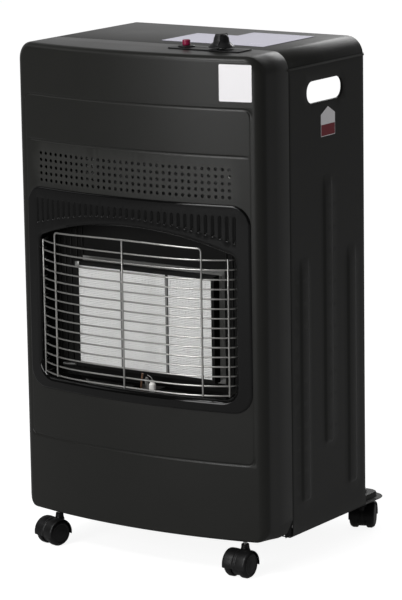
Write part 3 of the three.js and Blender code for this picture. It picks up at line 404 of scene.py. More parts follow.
def piece(name, body, material, stands_for=None, rides="cabinet", sharp=32.0):
    """A shown piece that rides on a body, in place of the CAD node it stands for."""
    me = as_mesh(Body((body.points + SHIFT) / 1000, body.faces), name)
    me.shade_smooth()
    me.set_sharp_from_angle(angle=radians(sharp))
    obj = show(name, me)
    me.materials.append(MATERIALS[material])
    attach(obj, rides)
    if stands_for:
        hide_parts(stands_for)
    return obj


def exact_normals(obj, relief, proud=0.0):
    """Gives the bowed skin the normals of the surface itself, so that its facets don't show."""
    me = obj.data

    def read(items, field, width=1, kind=float):
        out = np.empty(len(items) * width, kind)
        items.foreach_get(field, out)
        return out.reshape(-1, width) if width > 1 else out
    at = read(me.vertices, "co", 3) * 1000 - SHIFT
    flat = at[:, (0, 2)]
    height = lambda q: bow(q[:, 0]) - proud + relief(q)
    on_skin = np.abs(at[:, 1] - height(flat)) < 0.02
    h = 0.12
    dx = (height(flat + (h, 0)) - height(flat - (h, 0))) / (2 * h)
    dz = (height(flat + (0, h)) - height(flat - (0, h))) / (2 * h)
    normal = np.column_stack((dx, -np.ones(len(at)), dz))
    normal /= norm(normal, axis=1)[:, None]
    loops = np.array([n.vector[:] for n in me.corner_normals])
    owner = read(me.loops, "vertex_index", kind=int)
    face = np.repeat(read(me.polygons, "normal", 3), read(me.polygons, "loop_total", kind=int), axis=0)
    right = on_skin[owner] & ((normal[owner] * face).sum(1) > 0.45)
    loops[right] = normal[owner[right]]
    me.normals_split_custom_set([tuple(v) for v in loops])


# ---- solids
def prism(outline, low, high, edge=0.0, steps=2):
    """A closed prism on an anticlockwise outline, with rounded rims of radius edge."""
    outline = np.asarray(outline, float)
    out = normals_2d(outline)
    levels = [(low, 0), (high, 0)]
    if edge:
        turn = np.linspace(0, 90, steps + 1)
        levels = [(low + depth, inset) for depth, inset in quarter(edge, *turn[::-1])]
        levels += [(high - depth, inset) for depth, inset in quarter(edge, *turn)]
    return lofted([level(outline - out * inset, z) for z, inset in levels])


ALONG_Y = np.array(((1, 0, 0), (0, 0, -1), (0, 1, 0)))  # (x, z, depth) to the working frame
ALONG_X = np.array(((0, 0, 1), (1, 0, 0), (0, 1, 0)))  # (y, z, depth) to the working frame


def along_y(outline, y0, y1):
    return prism(outline, -y1, -y0).moved(ALONG_Y)


def along_x(outline, x0, x1, edge=0.0, steps=2):
    return prism(outline, x0, x1, edge, steps).moved(ALONG_X)


def block(x0, x1, y0, y1, z0, z1, edge=0.4, steps=2):
    e = min(edge, (x1 - x0) / 2.2, (y1 - y0) / 2.2, (z1 - z0) / 2.2)
    return prism(rounded(x0, x1, y0, y1, e, 2), z0, z1, e, steps)


def turned(profile, sides, x=0.0, y=0.0):
    """A turned body: profile holds (radius, height) from the bottom of the axis to its top."""
    b = Body()
    rings = [b.append([(x, y, h)] if r < 1e-6 else level(circle(x, y, r, sides), h)) for r, h in profile]
    for one, two in zip(rings, rings[1:]):
        for i in range(sides):
            j = (i + 1) % sides
            face = (one[i % len(one)], one[j % len(one)], two[j % len(two)], two[i % len(two)])
            b.faces.append(tuple(dict.fromkeys(face)))
    return b


def rod(r, low, high, sides, x=0.0, y=0.0):
    return turned([(0, low), (r, low), (r, high), (0, high)], sides, x, y)


def wire(path, r, sides=12):
    """A round wire along a path, with rounded ends."""
    path = np.asarray(path, float)
    tangent = np.gradient(path, axis=0)
    tangent /= norm(tangent, axis=1)[:, None]
    side = np.cross(tangent[0], (0, 0, 1) if abs(tangent[0][2]) < 0.9 else (1, 0, 0))
    side /= norm(side)
    rows = []
    angles = np.linspace(0, 2 * np.pi, sides, endpoint=False)
    for p, t in zip(path, tangent):
        side = side - t * (side @ t)
        side /= norm(side)
        round_it = r * (np.outer(np.cos(angles), side) + np.outer(np.sin(angles), np.cross(t, side)))
        if not rows:
            rows.append(p - t * 0.35 * r + 0.6 * round_it)
        rows.append(p + round_it)
    return lofted([*rows, p + t * 0.35 * r + 0.6 * round_it])


def bent(corners, bend, steps, spacing):
    """Corners of a route made into short curves."""
    return resample(softened(corners, bend, steps), spacing, closed=False)


def field(outer, holes, rings, lift, grid=(9.0, 12.0), clear=3.0, strokes=()):
    """A sheet over a flat region, with edges along its rings and its open strokes. lift turns (n, 2) places
    into points. Returns the body, the outer loop's points and each hole's points."""
    loops = [outer, *holes]
    fixed = np.vstack(loops)
    links, base = [], len(fixed)
    for lines, closed in ((rings, True), (strokes, False)):
        for line in lines:
            links += pairs(base, len(line), closed)
            base += len(line)
    everything = np.vstack([fixed, *rings, *strokes])

    # points between the lines, on a grid
    (x0, y0), (x1, y1) = outer.min(0), outer.max(0)
    free = np.array([(x, y) for x in np.arange(x0 + grid[0] / 2, x1, grid[0])
                     for y in np.arange(y0 + grid[1] / 2, y1, grid[1])])
    keep = np.ones(len(free), bool)
    for k in range(0, len(free), 400):
        keep[k:k + 400] = norm(free[k:k + 400, None] - everything[None], axis=2).min(1) > clear
    loose = np.vstack((everything, free[keep]))[len(fixed):]
    good = inside(loose, outer) & (to_loop(loose, outer) > 0.6)
    for h in holes:
        good &= ~inside(loose, h) & (to_loop(loose, h) > 0.5)
    points = np.vstack((fixed, loose[good]))
    place = np.full(len(fixed) + len(good), -1)
    place[:len(fixed)] = np.arange(len(fixed))
    place[len(fixed):][good] = len(fixed) + np.arange(good.sum())

    edges, base = [(int(place[a]), int(place[b])) for a, b in links if min(place[a], place[b]) >= 0], 0
    for loop in loops:
        edges += pairs(base, len(loop))
        base += len(loop)
    verts, _, tris, origin, _, _ = delaunay_2d_cdt([Vector(p) for p in points.tolist()], edges, [], 0, 1e-5)
    flat = np.array([v[:] for v in verts])
    where = {k: i for i, o in enumerate(origin) for k in o}
    tris = np.array([t for t in tris if len(t) == 3])
    centre = flat[tris].mean(1)
    good = inside(centre, outer)
    for h in holes:
        good &= ~inside(centre, h)
    tris = tris[good]
    used = np.unique(tris)
    new = {int(old): n for n, old in enumerate(used)}
    body = Body(lift(flat)[used], [tuple(new[int(i)] for i in t) for t in tris])
    named, base = [], 0
    for loop in loops:
        named.append([new[where[base + i]] for i in range(len(loop))])
        base += len(loop)
    return body, named[0], named[1:]


def pressed(p, boxes, corner, height, slope, fade=None):
    """How high shapes pressed into a sheet stand at flat places. Each may fade away towards its top."""
    out = np.zeros(len(p))
    for x0, x1, y0, y1 in boxes:
        d = -rectangle_distance(p - ((x0 + x1) / 2, 0), (x1 - x0) / 2, y0, y1, corner)
        left = ease((y1 - p[:, 1]) / fade) if fade else 1
        out = np.maximum(out, height * ease(d / slope) * left)
    return out


def terraces(boxes, corner, insets, spacing):
    """Nested lines down the slopes of pressed shapes, whose boxes are (x0, x1, y0, y1)."""
    return [resample(rounded(x0 + d, x1 - d, y0 + d, y1 - d, corner - d, 5), spacing)
            for x0, x1, y0, y1 in boxes for d in insets]


def bowed(half, behind, rear, steps):
    """An outline from above, whose front follows the bow at a distance and whose rear is straight."""
    x = np.linspace(-half, half, steps)
    return np.vstack((np.column_stack((x, bow(x) + behind)), [(half, rear), (-half, rear)]))


# ---- front casing
GROOVE = Sizes(top=661.1, across=596.4, low=165.6, half=190.3, corner=10, end=187, width=2.6, depth=1.15)
GRILLE = Sizes(columns=33, rows=5, across=9.95, up=9.55, low=540, r=2.5)
FACE_EDGE = Sizes(side=12, top=9, bottom=4)  # radii between the face and the casing's sides
FACE_CORNER, SEAM_CORNER = 17.0, 5  # radii of the lower corners at the face and at the seam


def elevation(lower=FACE_CORNER):
    """The cabinet's outline from the front, (x, z), anticlockwise. Its points pair up for any lower radius."""
    low, upper = BOTTOM - 0.7, CORNER
    corners = (arc(-HALF + lower, low + lower, lower, 180, 270, 10),
               arc(HALF - lower, low + lower, lower, 270, 360, 10),
               arc(HALF - upper, TOP - upper, upper, 0, 90, 16),
               arc(-HALF + upper, TOP - upper, upper, 90, 180, 16))
    out = []
    for here, after, steps in zip(corners, corners[1:] + corners[:1], (64, 100, 60, 100)):
        out += [here, np.linspace(here[-1], after[0], steps + 1)[1:-1]]
    return np.vstack(out)


def front_relief(p):
    """How far the pressed lines sink into the front, at (x, z). The upright ones are faint."""
    g = GROOVE
    x, z = np.abs(p[:, 0]), p[:, 1]
    middle, reach = (g.top + g.low) / 2, (g.top - g.low) / 2
    loop = np.abs(rectangle_distance(p, g.half, g.low, g.top, g.corner)) / g.width
    strength = 0.22 + 0.78 * ease((np.abs(z - middle) - reach + 13) / 10)
    line = np.abs(z - g.across) / g.width
    ends = ease((g.end - x) / 5)
    bump = lambda t: np.clip(1 - t * t, 0, 1) ** 1.6
    return g.depth * np.maximum(strength * bump(loop), ends * bump(line))


def control_holes(low, high):
    return rod(KNOB_HOLE, low, high, 32, *KNOB), rod(IGNITER_HOLE, low, high, 32, *IGNITER)


def front_casing():
    """The bowed face with its opening, perforations and pressed lines, and the sides to the seam."""
    rim = elevation()
    out = normals_2d(rim)
    upright = np.where(out[:, 1] > 0, FACE_EDGE.top, FACE_EDGE.bottom)
    r = FACE_EDGE.side * out[:, 0] ** 2 + upright * out[:, 1] ** 2
    r = r / np.maximum((out ** 2).sum(1), 1e-9)
    g, h = GROOVE, GRILLE
    holes = [rounded(-178, 178, 248, 520, 20)]
    holes += [circle((c - h.columns // 2) * h.across, h.low + k * h.up, h.r, 14)
              for c in range(h.columns) for k in range(h.rows)]
    rings, strokes = [], []
    for off in (-2.7, -1.8, -0.9, 0, 0.9, 1.8, 2.7):
        wide = min(g.half + off, 192.7)
        loop = rounded(-wide, wide, g.low - off, g.top + off, g.corner + off, 6)
        rings.append(resample(loop, 8))
        strokes.append(resample([(-g.end, g.across + off), (g.end, g.across + off)], 8, closed=False))
    lift = lambda p: facing(p, bow(p[:, 0]) + front_relief(p))
    b, ring, _ = field(rim - out * r[:, None], holes, rings, lift, strokes=strokes)
    for depth, inset in quarter(1, *range(80, -1, -10)):
        p = rim - out * (r * inset)[:, None]
        ring = b.grow(ring, facing(p, bow(p[:, 0]) + r * depth))
    for y, inset, lower in ((18, 0, 12), (34, 0, SEAM_CORNER), (SEAM - 0.5, 0, SEAM_CORNER),
                            (SEAM - 0.15, 0.15, SEAM_CORNER), (SEAM, 0.5, SEAM_CORNER)):
        p = elevation(lower)
        ring = b.grow(ring, facing(p - normals_2d(p) * inset, y))
    notch = [(36, 40), (90, 40), (90, 84), (78, 84), (SEAM, 74.5)]
    return cut(b.shell(SHEET), prism(bowed(188.0, 18, 90, 61), 20, FLOOR + 12), along_x(notch, -300, 300),
               *control_holes(720, 740))


# ---- side and top casings
RIBS = [(y - 13.5, y + 13.5, z0, z1) for y, z0, z1 in ((104, 91, 446), (167, 163, 554), (230, 91, 446))]
RIB_CORNER = 9
HANDLE = Sizes(y=162.4, z=670, half=47, rise=15.25, corner=14.2, roll=1.5, depth=4.0)


def side_casing():
    """The right side: ribs, a rolled handle mouth, and flanges along three edges."""
    bend, flange, low, high, inset = 1.9, 15.0, 50.5, 708.7, 0.3
    y0, y1 = REAR_FRONT, REAR
    a, c, top = y0 + bend, y1 - bend, high - bend
    outline = resample([(y0 + inset, low), (y1 - inset, low), (y1 - inset, 64), (c, 64), (c, top), (a, top),
                        (a, 66), (y0 + inset, 66)], 10)
    g, roll = HANDLE, HANDLE.roll
    slot = rounded(g.y - g.half, g.y + g.half, g.z - g.rise, g.z + g.rise, g.corner)
    mouth = slot + normals_2d(slot) * roll
    lift = lambda p: sideways(HALF + pressed(p, RIBS, RIB_CORNER, 2, 6.5, fade=32), p)
    b, ring, (hand,) = field(outline, [mouth], terraces(RIBS, RIB_CORNER, (0, 1.6, 3.2, 4.9, 6.5), 11), lift,
                             grid=(12, 16), clear=4)
    for t in np.radians((30, 60, 90)):
        p = mouth - normals_2d(mouth) * roll * sin(t)
        hand = b.grow(hand, sideways(HALF - roll * (1 - cos(t)), p), hole=True)
    b.grow(hand, sideways(HALF - g.depth, slot), hole=True)

    def fold(select, direction):
        """Bends the marked stretch of the rim inwards and adds its flange."""
        run = [i for i in range(len(outline)) if select(*outline[i])]
        start = next(k for k, i in enumerate(run) if (i - 1) % len(outline) not in run)
        run = run[start:] + run[:start]
        base, way, row = outline[run], np.array(direction) * bend, [ring[i] for i in run]
        for t in np.radians((18, 36, 54, 72, 90)):
            p = base + way * sin(t)
            row = b.grow(row, sideways(HALF - bend * (1 - cos(t)), p), closed=False)
        b.grow(row, sideways(HALF - flange, base + way), closed=False)
    fold(lambda y, z: abs(y - a) < 1e-6 and z > 65.9, (-1, 0))
    fold(lambda y, z: abs(y - c) < 1e-6 and z > 63.9, (1, 0))
    fold(lambda y, z: abs(z - top) < 1e-6, (0, 1))
    return b.shell(SHEET)


def crown(skirt):
    """The outline over the top, from one side's skirt to the other's, and its outward normals."""
    rim = resample(np.vstack(([(HALF, skirt), (HALF, TOP - CORNER)],
                              arc(HALF - CORNER, TOP - CORNER, CORNER, 0, 90, 18)[1:],
                              arc(-HALF + CORNER, TOP - CORNER, CORNER, 90, 180, 18),
                              [(-HALF, skirt)])), 9, closed=False)
    out = normals_2d(np.vstack((rim, [(0, skirt)])))[:-1]
    out[0], out[-1] = (1, 0), (-1, 0)
    return rim, out


def seam_lip():
    """The joggled strip under the seam, which the top cover laps over."""
    rim, out = crown(710.2)
    return lofted([facing(rim - out * 1.4, y) for y in (SEAM + 6, SEAM - 3)], closed=False).shell(1.0)


def top_casing():
    """The top behind the seam, with its skirts and its closed upper rear."""
    bend = 3.0
    rim, out = crown(709.5)
    rows = [(REAR - depth, inset) for depth, inset in quarter(bend, 90, 72, 54, 36, 18)]
    rows += [(REAR - bend, 0), (165, 0), (REAR_FRONT + 0.5, 0), (REAR_FRONT + 0.15, 0.15), (REAR_FRONT, 0.5)]
    b = lofted([facing(rim - out * inset, y) for y, inset in rows], closed=False)
    b.faces.append(tuple(range(len(rim)))[::-1])
    return b.shell(SHEET)


# ---- base tray and heat shield
LEDGE = 50.2  # height of the ledge round the tray
TRAY = Sizes(rear=332.0, corner=25.0, front=62.0, side_inset=8, rear_inset=12, roll=2.2)
PAD, PAD_CORNER = (-115, 115, 88, 248), 20


def base_run(inset, rear_inset):
    """The tray's edge from its front right round the rear to its front left, (x, y)."""
    rear, r, front = TRAY.rear, TRAY.corner, TRAY.front
    p = resample(np.vstack(([(HALF, front)], arc(HALF - r, rear - r, r, 0, 90, 12),
                            arc(-HALF + r, rear - r, r, 90, 180, 12), [(-HALF, front)])), 12, closed=False)
    share_x = np.clip((np.abs(p[:, 0]) - HALF + r) / r, 0, 1) * np.sign(p[:, 0])
    share_y = np.clip((p[:, 1] - rear + r) / r, 0, 1)
    return np.column_stack((p[:, 0] - inset * share_x, p[:, 1] - rear_inset * share_y))


def base_tray():
    """The raised floor with its pad, its skirt and ledge, and the tongue inside the front casing."""
    side, rear, roll = TRAY.side_inset, TRAY.rear_inset, TRAY.roll
    run = base_run(side + roll, rear + roll)
    front = resample([run[-1], run[0]], 12, closed=False)[1:-1]
    nuts = [circle(x, y, CASTER_HOLE, 16) for _, x, y, _ in CASTERS[2:]]
    lift = lambda p: level(p, FLOOR_TOP + pressed(p, [PAD], PAD_CORNER, 0.8, 2.4))
    lines = terraces([PAD], PAD_CORNER, (0, 0.8, 1.6, 2.4), 12)
    b, ring, _ = field(np.vstack((run, front)), nuts, lines, lift, grid=(16, 16), clear=5)
    ring = ring[:len(run)]
    rows = [(side + beyond, rear + beyond, FLOOR_TOP - drop) for beyond, drop in quarter(roll, 30, 60, 90)]
    rows += [(side, rear, LEDGE + 2), (side - 0.6, rear - 0.6, LEDGE + 0.6), (side - 2, rear - 2, LEDGE),
             (0.5, 0.5, LEDGE), (0.1, 0.1, LEDGE - 0.35)]
    for inset, rear_inset, z in rows:
        ring = b.grow(ring, level(base_run(inset, rear_inset), z), closed=False)
    holes = [rod(CASTER_HOLE, 40, 70, 20, x, y) for _, x, y, _ in CASTERS[:2]]
    tongue = prism(bowed(193, 12.5, 63.2, 60), FLOOR + 0.02, FLOOR_TOP - 0.02, 0.3)
    lip = block(203.3, 204.5, 71, 262, LEDGE - 0.5, FLOOR_TOP + 25)
    strip = block(-199, 199, 62.1, 64, LEDGE - 1.15, LEDGE - 0.05, 0.3)
    return join(b.shell(SHEET), strip, cut(tongue, *holes), lip, lip.mirrored())


def heat_shield():
    """The sheet behind the burner, with two pressed beads and a port for the gas inlet."""
    y, half, low, high = 71.5, 203.0, 122.0, 690.0
    beads, corner = [(x - 9, x + 9, 180, 610) for x in (-120, 120)], 8.9
    # seen from the rear, (-x, z), so that the faces point to the rear
    lift = lambda p: facing(p * (-1, 1), y + pressed(p, beads, corner, 2.2, 7))
    outline = resample(rounded(-half, half, low, high, 2, 2), 16)
    lines = terraces(beads, corner, (0, 2, 4, 6, 8), 14)
    b, _, _ = field(outline, [circle(-KNOB[0], 678, 9, 24)], lines, lift, grid=(20, 24), clear=6)
    return b.shell(SHEET)


# ---- window surround
FLUTES = [((k - 16) * 10.4, 499.5 - 24.5 * ((k - 16) / 16.5) ** 2) for k in range(33)]  # (x, foot)
FLUTE_R, FLUTE_DEPTH, FLUTE_TOP = 2.8, 2.3, 512.2
SURROUND, SURROUND_PROUD = (188.9, 238, 530, 28), 2.6  # half width, foot, top and corner radius


def window():
    """The window's mouth, (x, z), with shoulders below a low arch."""
    half, bottom, crest, spring, r = WINDOW
    sag = crest - spring
    big = (half ** 2 + sag ** 2) / (2 * sag)
    end = 90 - degrees(asin((half - 11) / big))
    top = arc(0, crest - big, big, end, 180 - end, 44)
    start, stop = np.array((half, spring - 12)), top[0]
    knee = np.array((half, stop[1] - 0.6))
    t = np.linspace(0, 1, 7)[:-1, None]
    shoulder = (1 - t) ** 2 * start + 2 * t * (1 - t) * knee + t * t * stop
    return np.vstack((arc(half - r, bottom + r, r, -90, 0, 10), shoulder, top,
                      (shoulder * (-1, 1))[::-1], arc(-half + r, bottom + r, r, 180, 270, 10)))


def flute_relief(p):
    """How far the brow's flutes sink into the surround, at (x, z)."""
    out = np.zeros(len(p))
    for x, foot in FLUTES:
        near = np.abs(p[:, 0] - x) < 3.2
        q = p[near] - (x, 0)
        z = np.clip(q[:, 1], foot + FLUTE_R, FLUTE_TOP)
        d = np.hypot(q[:, 0], q[:, 1] - z) / FLUTE_R
        out[near] = np.maximum(out[near], FLUTE_DEPTH * (1 - ease(d)))
    return out


def window_surround():
    """The glossy surround, whose lip rolls into the window."""
    half, low, high, corner = SURROUND
    proud, edge, lip = SURROUND_PROUD, 2.9, 7.0
    rim = resample(rounded(-half, half, low, high, corner, 14), 7)
    out = normals_2d(rim)
    mouth = resample(window(), 7)
    away = normals_2d(mouth)
    lines = []
    for x, foot in FLUTES:
        for r in (FLUTE_R, 2.25, 1.7, 1.15, 0.6):
            capsule = (arc(x, FLUTE_TOP, r, 0, 180, 6), arc(x, foot + FLUTE_R, r, 180, 360, 6))
            lines.append(resample(np.vstack(capsule), 7))
    lift = lambda p: facing(p, bow(p[:, 0]) - proud + flute_relief(p))
    b, ring, (hole,) = field(rim - out * edge, [mouth + away * lip], lines, lift, grid=(8, 9), clear=2.4)
    for depth, inset in quarter(edge, 75, 60, 45, 30, 15, 0):
        p = rim - out * inset
        ring = b.grow(ring, facing(p, bow(p[:, 0]) - proud + depth))
    for depth, inset in quarter(lip, *range(80, -1, -10)):
        p = mouth + away * inset
        hole = b.grow(hole, facing(p, bow(p[:, 0]) - proud + depth), hole=True)
    b.grow(hole, facing(mouth, 14.0), hole=True)
    return cut(b.shell(SHEET), block(-10, 31, -14, 20, 246, 258, 0.01))


# ---- guard, chamber and plaques
GUARD = Sizes(crown=-43.0, end_y=-14.0, end_x=157.0, hoop_x=124.0, curve=3.74, r=1.2, upright=1.3,
             low=263.2, high=453.4, hoop_z=469.5, rise=3.0, bars=15)
PLAQUE_Z, PLAQUE_RISE, PLAQUE_W, BURNER_X = 347.0, 72.4, 76.0, 114.6 + 0.3 + 1.6
PLAQUE_FRONT, PLAQUE_BACK, PORT_R, PORT_DEPTH = 10.0, 22.0, 0.93, 6.0
CHAMBER = (176, 14.3, 34.3, 246, 498)  # half width, front, rear, foot, top


def guard_y(x):
    """Depth of the guard at x."""
    g = GUARD
    return g.crown + (g.end_y - g.crown) * np.abs(np.asarray(x, float) / g.end_x) ** g.curve


def opening_half(z):
    """Half of the window's clear width at height z."""
    half, bottom, _, spring, r = WINDOW
    low, high = max(bottom + r - z, 0), max(z - spring + 9, 0)
    corner = 0.8 + r - sqrt(r ** 2 - low ** 2) if low > 0 else 0
    return half - corner - high * 0.36


def guard_grille():
    """Hooked bars, two end wires, a hoop and a centre wire, welded together."""
    g = GUARD
    r, u, low, weld = g.r, g.upright, g.low - 1.2, 0.8 * 2.4
    y_end = g.end_y + weld
    bars, ends = Body(), Body()
    for z in np.linspace(g.low, g.high, g.bars):
        hook = min(opening_half(z - r), opening_half(z + r)) - 0.3 - r
        right = [(x, float(guard_y(x)) + weld, z) for x in np.linspace(0, 152, 20)]
        right += [(157.5, y_end + 0.4, z), (hook, y_end + 8, z), (hook, y_end + 16, z)]
        left = [(-x, y, height) for x, y, height in right[:0:-1]]
        bars.add(wire(bent(left + right, 4, 5, 9), r))
    upright = lambda x, high: wire([(x, guard_y(x), z) for z in (low, 300, 400, high)], u)
    for x in (-g.end_x, g.end_x):
        ends.add(upright(x, g.high + 1.2))
    h, foot = g.hoop_x, float(guard_y(g.hoop_x))
    across = [(x, float(guard_y(x)), g.hoop_z + g.rise * (1 - (x / h) ** 2)) for x in np.linspace(-h, h, 21)]
    hoop = wire(bent([(-h, foot, low), *across, (h, foot, low)], 5, 6, 12), u)
    return join(bars, ends, hoop, upright(0, g.hoop_z + g.rise))


def reflector():
    """An open tray behind the window, with the burner's opening and ribs at its sides."""
    half, y0, y1, z0, z1 = CHAMBER
    s, x, rise = SHEET, BURNER_X + 0.6, 74.9
    b = cut(block(-half, half, y0, y1, z0, z1, 0.8),
            block(-half + s, half - s, y0 + s, y1 - s, z0 + s, z1 - s, 3.0, 3),
            along_y(resample(window(), 8), 9, 19),
            block(-x, x, 29, 40, PLAQUE_Z - rise, PLAQUE_Z + rise, 1.0))
    for x in (123, 133, 143, 153, 163):
        rib = block(x - 2.2, x + 2.2, 31.0, 33.6, 262, 474, 1.2, 3)
        b = join(b, rib, rib.mirrored())
    return b


def ceramic_plaque(k):
    """A ceramic plaque whose face holds a close grid of small burner ports."""
    x, y0, y1 = k * (PLAQUE_W + 0.6), PLAQUE_FRONT, PLAQUE_BACK
    x0, x1, z0, z1 = x - PLAQUE_W / 2, x + PLAQUE_W / 2, PLAQUE_Z - PLAQUE_RISE, PLAQUE_Z + PLAQUE_RISE
    nx, nz = 31, 59
    row = nx + 1
    gx, gz = np.linspace(x0, x1, nx + 1), np.linspace(z0, z1, nz + 1)
    points = [(a, y0, c) for c in gz for a in gx]
    faces = []
    ring = [(PORT_R * cos(t), PORT_R * sin(t)) for t in np.radians(np.arange(-135, 225, 45))]
    for j in range(nz):
        for i in range(nx):
            c = [j * row + i, j * row + i + 1, (j + 1) * row + i + 1, (j + 1) * row + i]
            mx, mz = (gx[i] + gx[i + 1]) / 2, (gz[j] + gz[j + 1]) / 2
            h = len(points)
            points += [(mx + a, y0, mz + d) for a, d in ring]
            points += [(mx + 0.85 * a, y0 + PORT_DEPTH, mz + 0.85 * d) for a, d in ring]
            faces += [(c[s], c[(s + 1) % 4], h + (2 * s + 2) % 8, h + 2 * s + 1, h + 2 * s) for s in range(4)]
            faces += [(h + s, h + (s + 1) % 8, h + 8 + (s + 1) % 8, h + 8 + s) for s in range(8)]
            faces.append(tuple(h + 8 + s for s in range(8)))
    back = len(points)
    points += [(x0, y1, z0), (x1, y1, z0), (x1, y1, z1), (x0, y1, z1)]
    sides = [list(range(row)), [j * row + nx for j in range(nz + 1)],
             [nz * row + i for i in range(nx, -1, -1)], [j * row for j in range(nz, -1, -1)]]
    for s, line in enumerate(sides):
        faces.append(tuple(line[::-1]) + (back + s, back + (s + 1) % 4))
    faces.append((back + 3, back + 2, back + 1, back))
    return Body(points, faces)


def notch_shade_sheet():
    """The sheet behind the notch in the front casing's lower rear corner, painted near black as painted shade
    in the notch.
    """
    outline = [(50.6, 55.2), (52, 51), (68.4, 51), (68.4, 84), (60, 84), (60, 66), (57.2, 62.3)]
    return along_x(outline, 203.2, 204.4, 0.3)


def plaque_clip():
    return join(block(-117.5, -110.5, 6.9, 7.9, 416.5, 423.5, 0.35),
                block(-117.5, -114.5, 6.9, 9.9, 418, 422, 0.3))


# ---- controls
SKIRT_R, KNOB_LOW, KNOB_SHOULDER, KNOB_BODY, KNOB_TOP = 18.3, 737.3, 744.3, 751.2, 756.2


def control_knob():
    """Skirted knob: a round body with a bar grip whose front foot runs out over the skirt."""
    cx, cy = KNOB
    low, shoulder, high = KNOB_LOW, KNOB_SHOULDER, KNOB_TOP
    b = turned(softened([(0, low), (SKIRT_R, low), (SKIRT_R, low + 1.2), (11.3, shoulder), (10.9, shoulder + 3),
                         (10.0, KNOB_BODY), (7.6, high - 1.2), (0, high - 0.4)], 2.2, 4), 64, cx, cy)
    side = [(-15.0, low + 3.0), (9.4, low + 3.0), (9.2, high - 0.2), (-9.0, high - 0.2),
            (-10.6, shoulder + 3.0), (-14.9, low + 4.4)]
    outline = resample(softened(side + side[:2], 1.8, 4)[1:-1], 3)
    b = join(b, along_x(outline + (cy, 0), cx - 5.0, cx + 5.0, 1.3, 4))
    flutes = []
    for a in 2 * pi * (np.arange(24) + 0.5) / 24:
        if abs(cos(a)) > 0.42:
            flute = [(0, shoulder + 1), (0.42, shoulder + 1.4), (0.42, KNOB_BODY + 2), (0, KNOB_BODY + 2)]
            flutes.append(turned(flute, 8, cx + 10.5 * cos(a), cy + 10.5 * sin(a)))
    return cut(b, *flutes, rod(4.3, low - 1, low + 13, 24, cx, cy))


def knob_pale_strip():
    """The pale strip on the skirt beside the bar."""
    cx, cy = KNOB
    low = KNOB_LOW + 1.2
    slope = (KNOB_SHOULDER - low) / 7.1
    rows = [[(cx + r * cos(a), cy + r * sin(a), low + slope * (SKIRT_R - r) + 0.12) for r in (17.4, 15.5, 13.4)]
            for a in np.radians(np.linspace(13, 4, 5))]
    return lofted(rows, closed=False).shell(0.25)


def igniter_button():
    z, foot = PLATE_TOP, PLATE_TOP + 2.2 - 12
    return turned(softened([(0, foot), (5.0, foot), (5.0, z + 2.5), (5.5, z + 3.2), (5.5, z + 9.0),
                            (4.7, z + 9.9), (2.4, z + 9.55), (0, z + 9.4)], 0.7, 4), 48, *IGNITER)


def igniter_collar():
    """The igniter's body, bored for the button and for the lead."""
    low, foot, bore = PLATE_TOP + GAP, 676, 718.3
    b = turned(softened([(0, foot), (7.6, foot), (7.6, low), (12, low), (12, low + 1.1), (9.4, low + 2.0),
                         (0, low + 2.0)], 0.5, 3), 56, *IGNITER)
    return cut(b, rod(5.8, bore, low + 5, 40, *IGNITER), rod(2.0, foot - 6, foot + 8, 20, *IGNITER))


def control_plate():
    """The plate under the controls, with a shallow recess on either side of the knob."""
    z = TOP + GAP
    b = prism(rounded(34.5, 152.5, 25, 63, 5, 8), z, z + PLATE, 0.55, 3)
    recesses = [block(x0, x1, 41.6, 46.4, z + 0.95, z + 3, 0.5) for x0, x1 in ((66.5, 89.5), (136.5, 148))]
    return cut(b, *control_holes(z - 1, z + 3), *recesses)


# ---- casters
AXLE_Y, AXLE_Z, AXLE_HOLE = -12.5, 19.0, 2.8  # the wheels' axis, behind the caster's stem
HOOD_R, WEB_HALF = 20.9, 5.8
HOOD = ((0, HOOD_R), (0.9, 20.85), (2.0, 20.2), (3.2, 20.15), (6, 20.6), (11, HOOD_R), (15, HOOD_R),
        (16.8, 20.75), (18, 20.3), (18.6, 19.8), (19.0, 19.2))  # (distance from the middle, radius)


def placed(body, x, y, angle):
    a = radians(angle)
    turn = np.array(((cos(a), -sin(a), 0), (sin(a), cos(a), 0), (0, 0, 1)))
    return body.moved(turn, (x, y, GROUND))


def caster_hood():
    """The roof over both wheels, the web and disc between them, and the stem's neck."""
    drop = degrees(asin(3.5 / HOOD_R))
    over = lambda r, steps: arc(AXLE_Y, AXLE_Z, r, -drop, 180 + drop, steps)
    xs = [0, 0.5, 0.9, 1.4, 2.0, 3.2, 4.5, 6, 8, 11, 13, 14, 15, 16, 17, 17.6, 18.2, 18.6, 19.0]
    xs = [-x for x in xs[:0:-1]] + xs
    roof = lofted([sideways(x, over(np.interp(abs(x), *zip(*HOOD)), 41)) for x in xs], closed=False)
    web = along_x(over(19.6, 39), -WEB_HALF, WEB_HALF, 0.4)
    disc = along_x(circle(AXLE_Y, AXLE_Z, 16.5, 48), -WEB_HALF, WEB_HALF, 1.2, 3)
    neck = turned([(0, 25), (5.7, 25), (5.7, 34.5), (7.3, 35.3), (6.6, 37.2), (6.0, 39.5), (5.7, 42.5),
                   (5.6, 44.2), (4.9, 45), (0, 45)], 36)
    return cut(join(roof.shell(SHEET), web, disc, neck), rod(3.2, 24.7, 50, 20),
               along_x(circle(AXLE_Y, AXLE_Z, AXLE_HOLE, 24), -30, 30))


def caster_wheel():
    """The wheel on the right of its caster."""
    profile = softened([(0, 12.36), (AXLE_HOLE, 12.36), (AXLE_HOLE, 0), (8, 0), (9, 0.9), (15.6, 0.9),
                        (16.4, 0), (17.5, 0), (19, 1.5), (19, 7.6), (17, 11.0), (14.2, 12.3), (13.5, 12.0),
                        (12.9, 11.5), (12.2, 11.75), (8.4, 12.1), (5.6, 12.3), (4.8, 12.6), (0, 12.6)], 0.5, 2)
    return turned(profile, 64).moved(ALONG_X, (6.1, AXLE_Y, AXLE_Z))


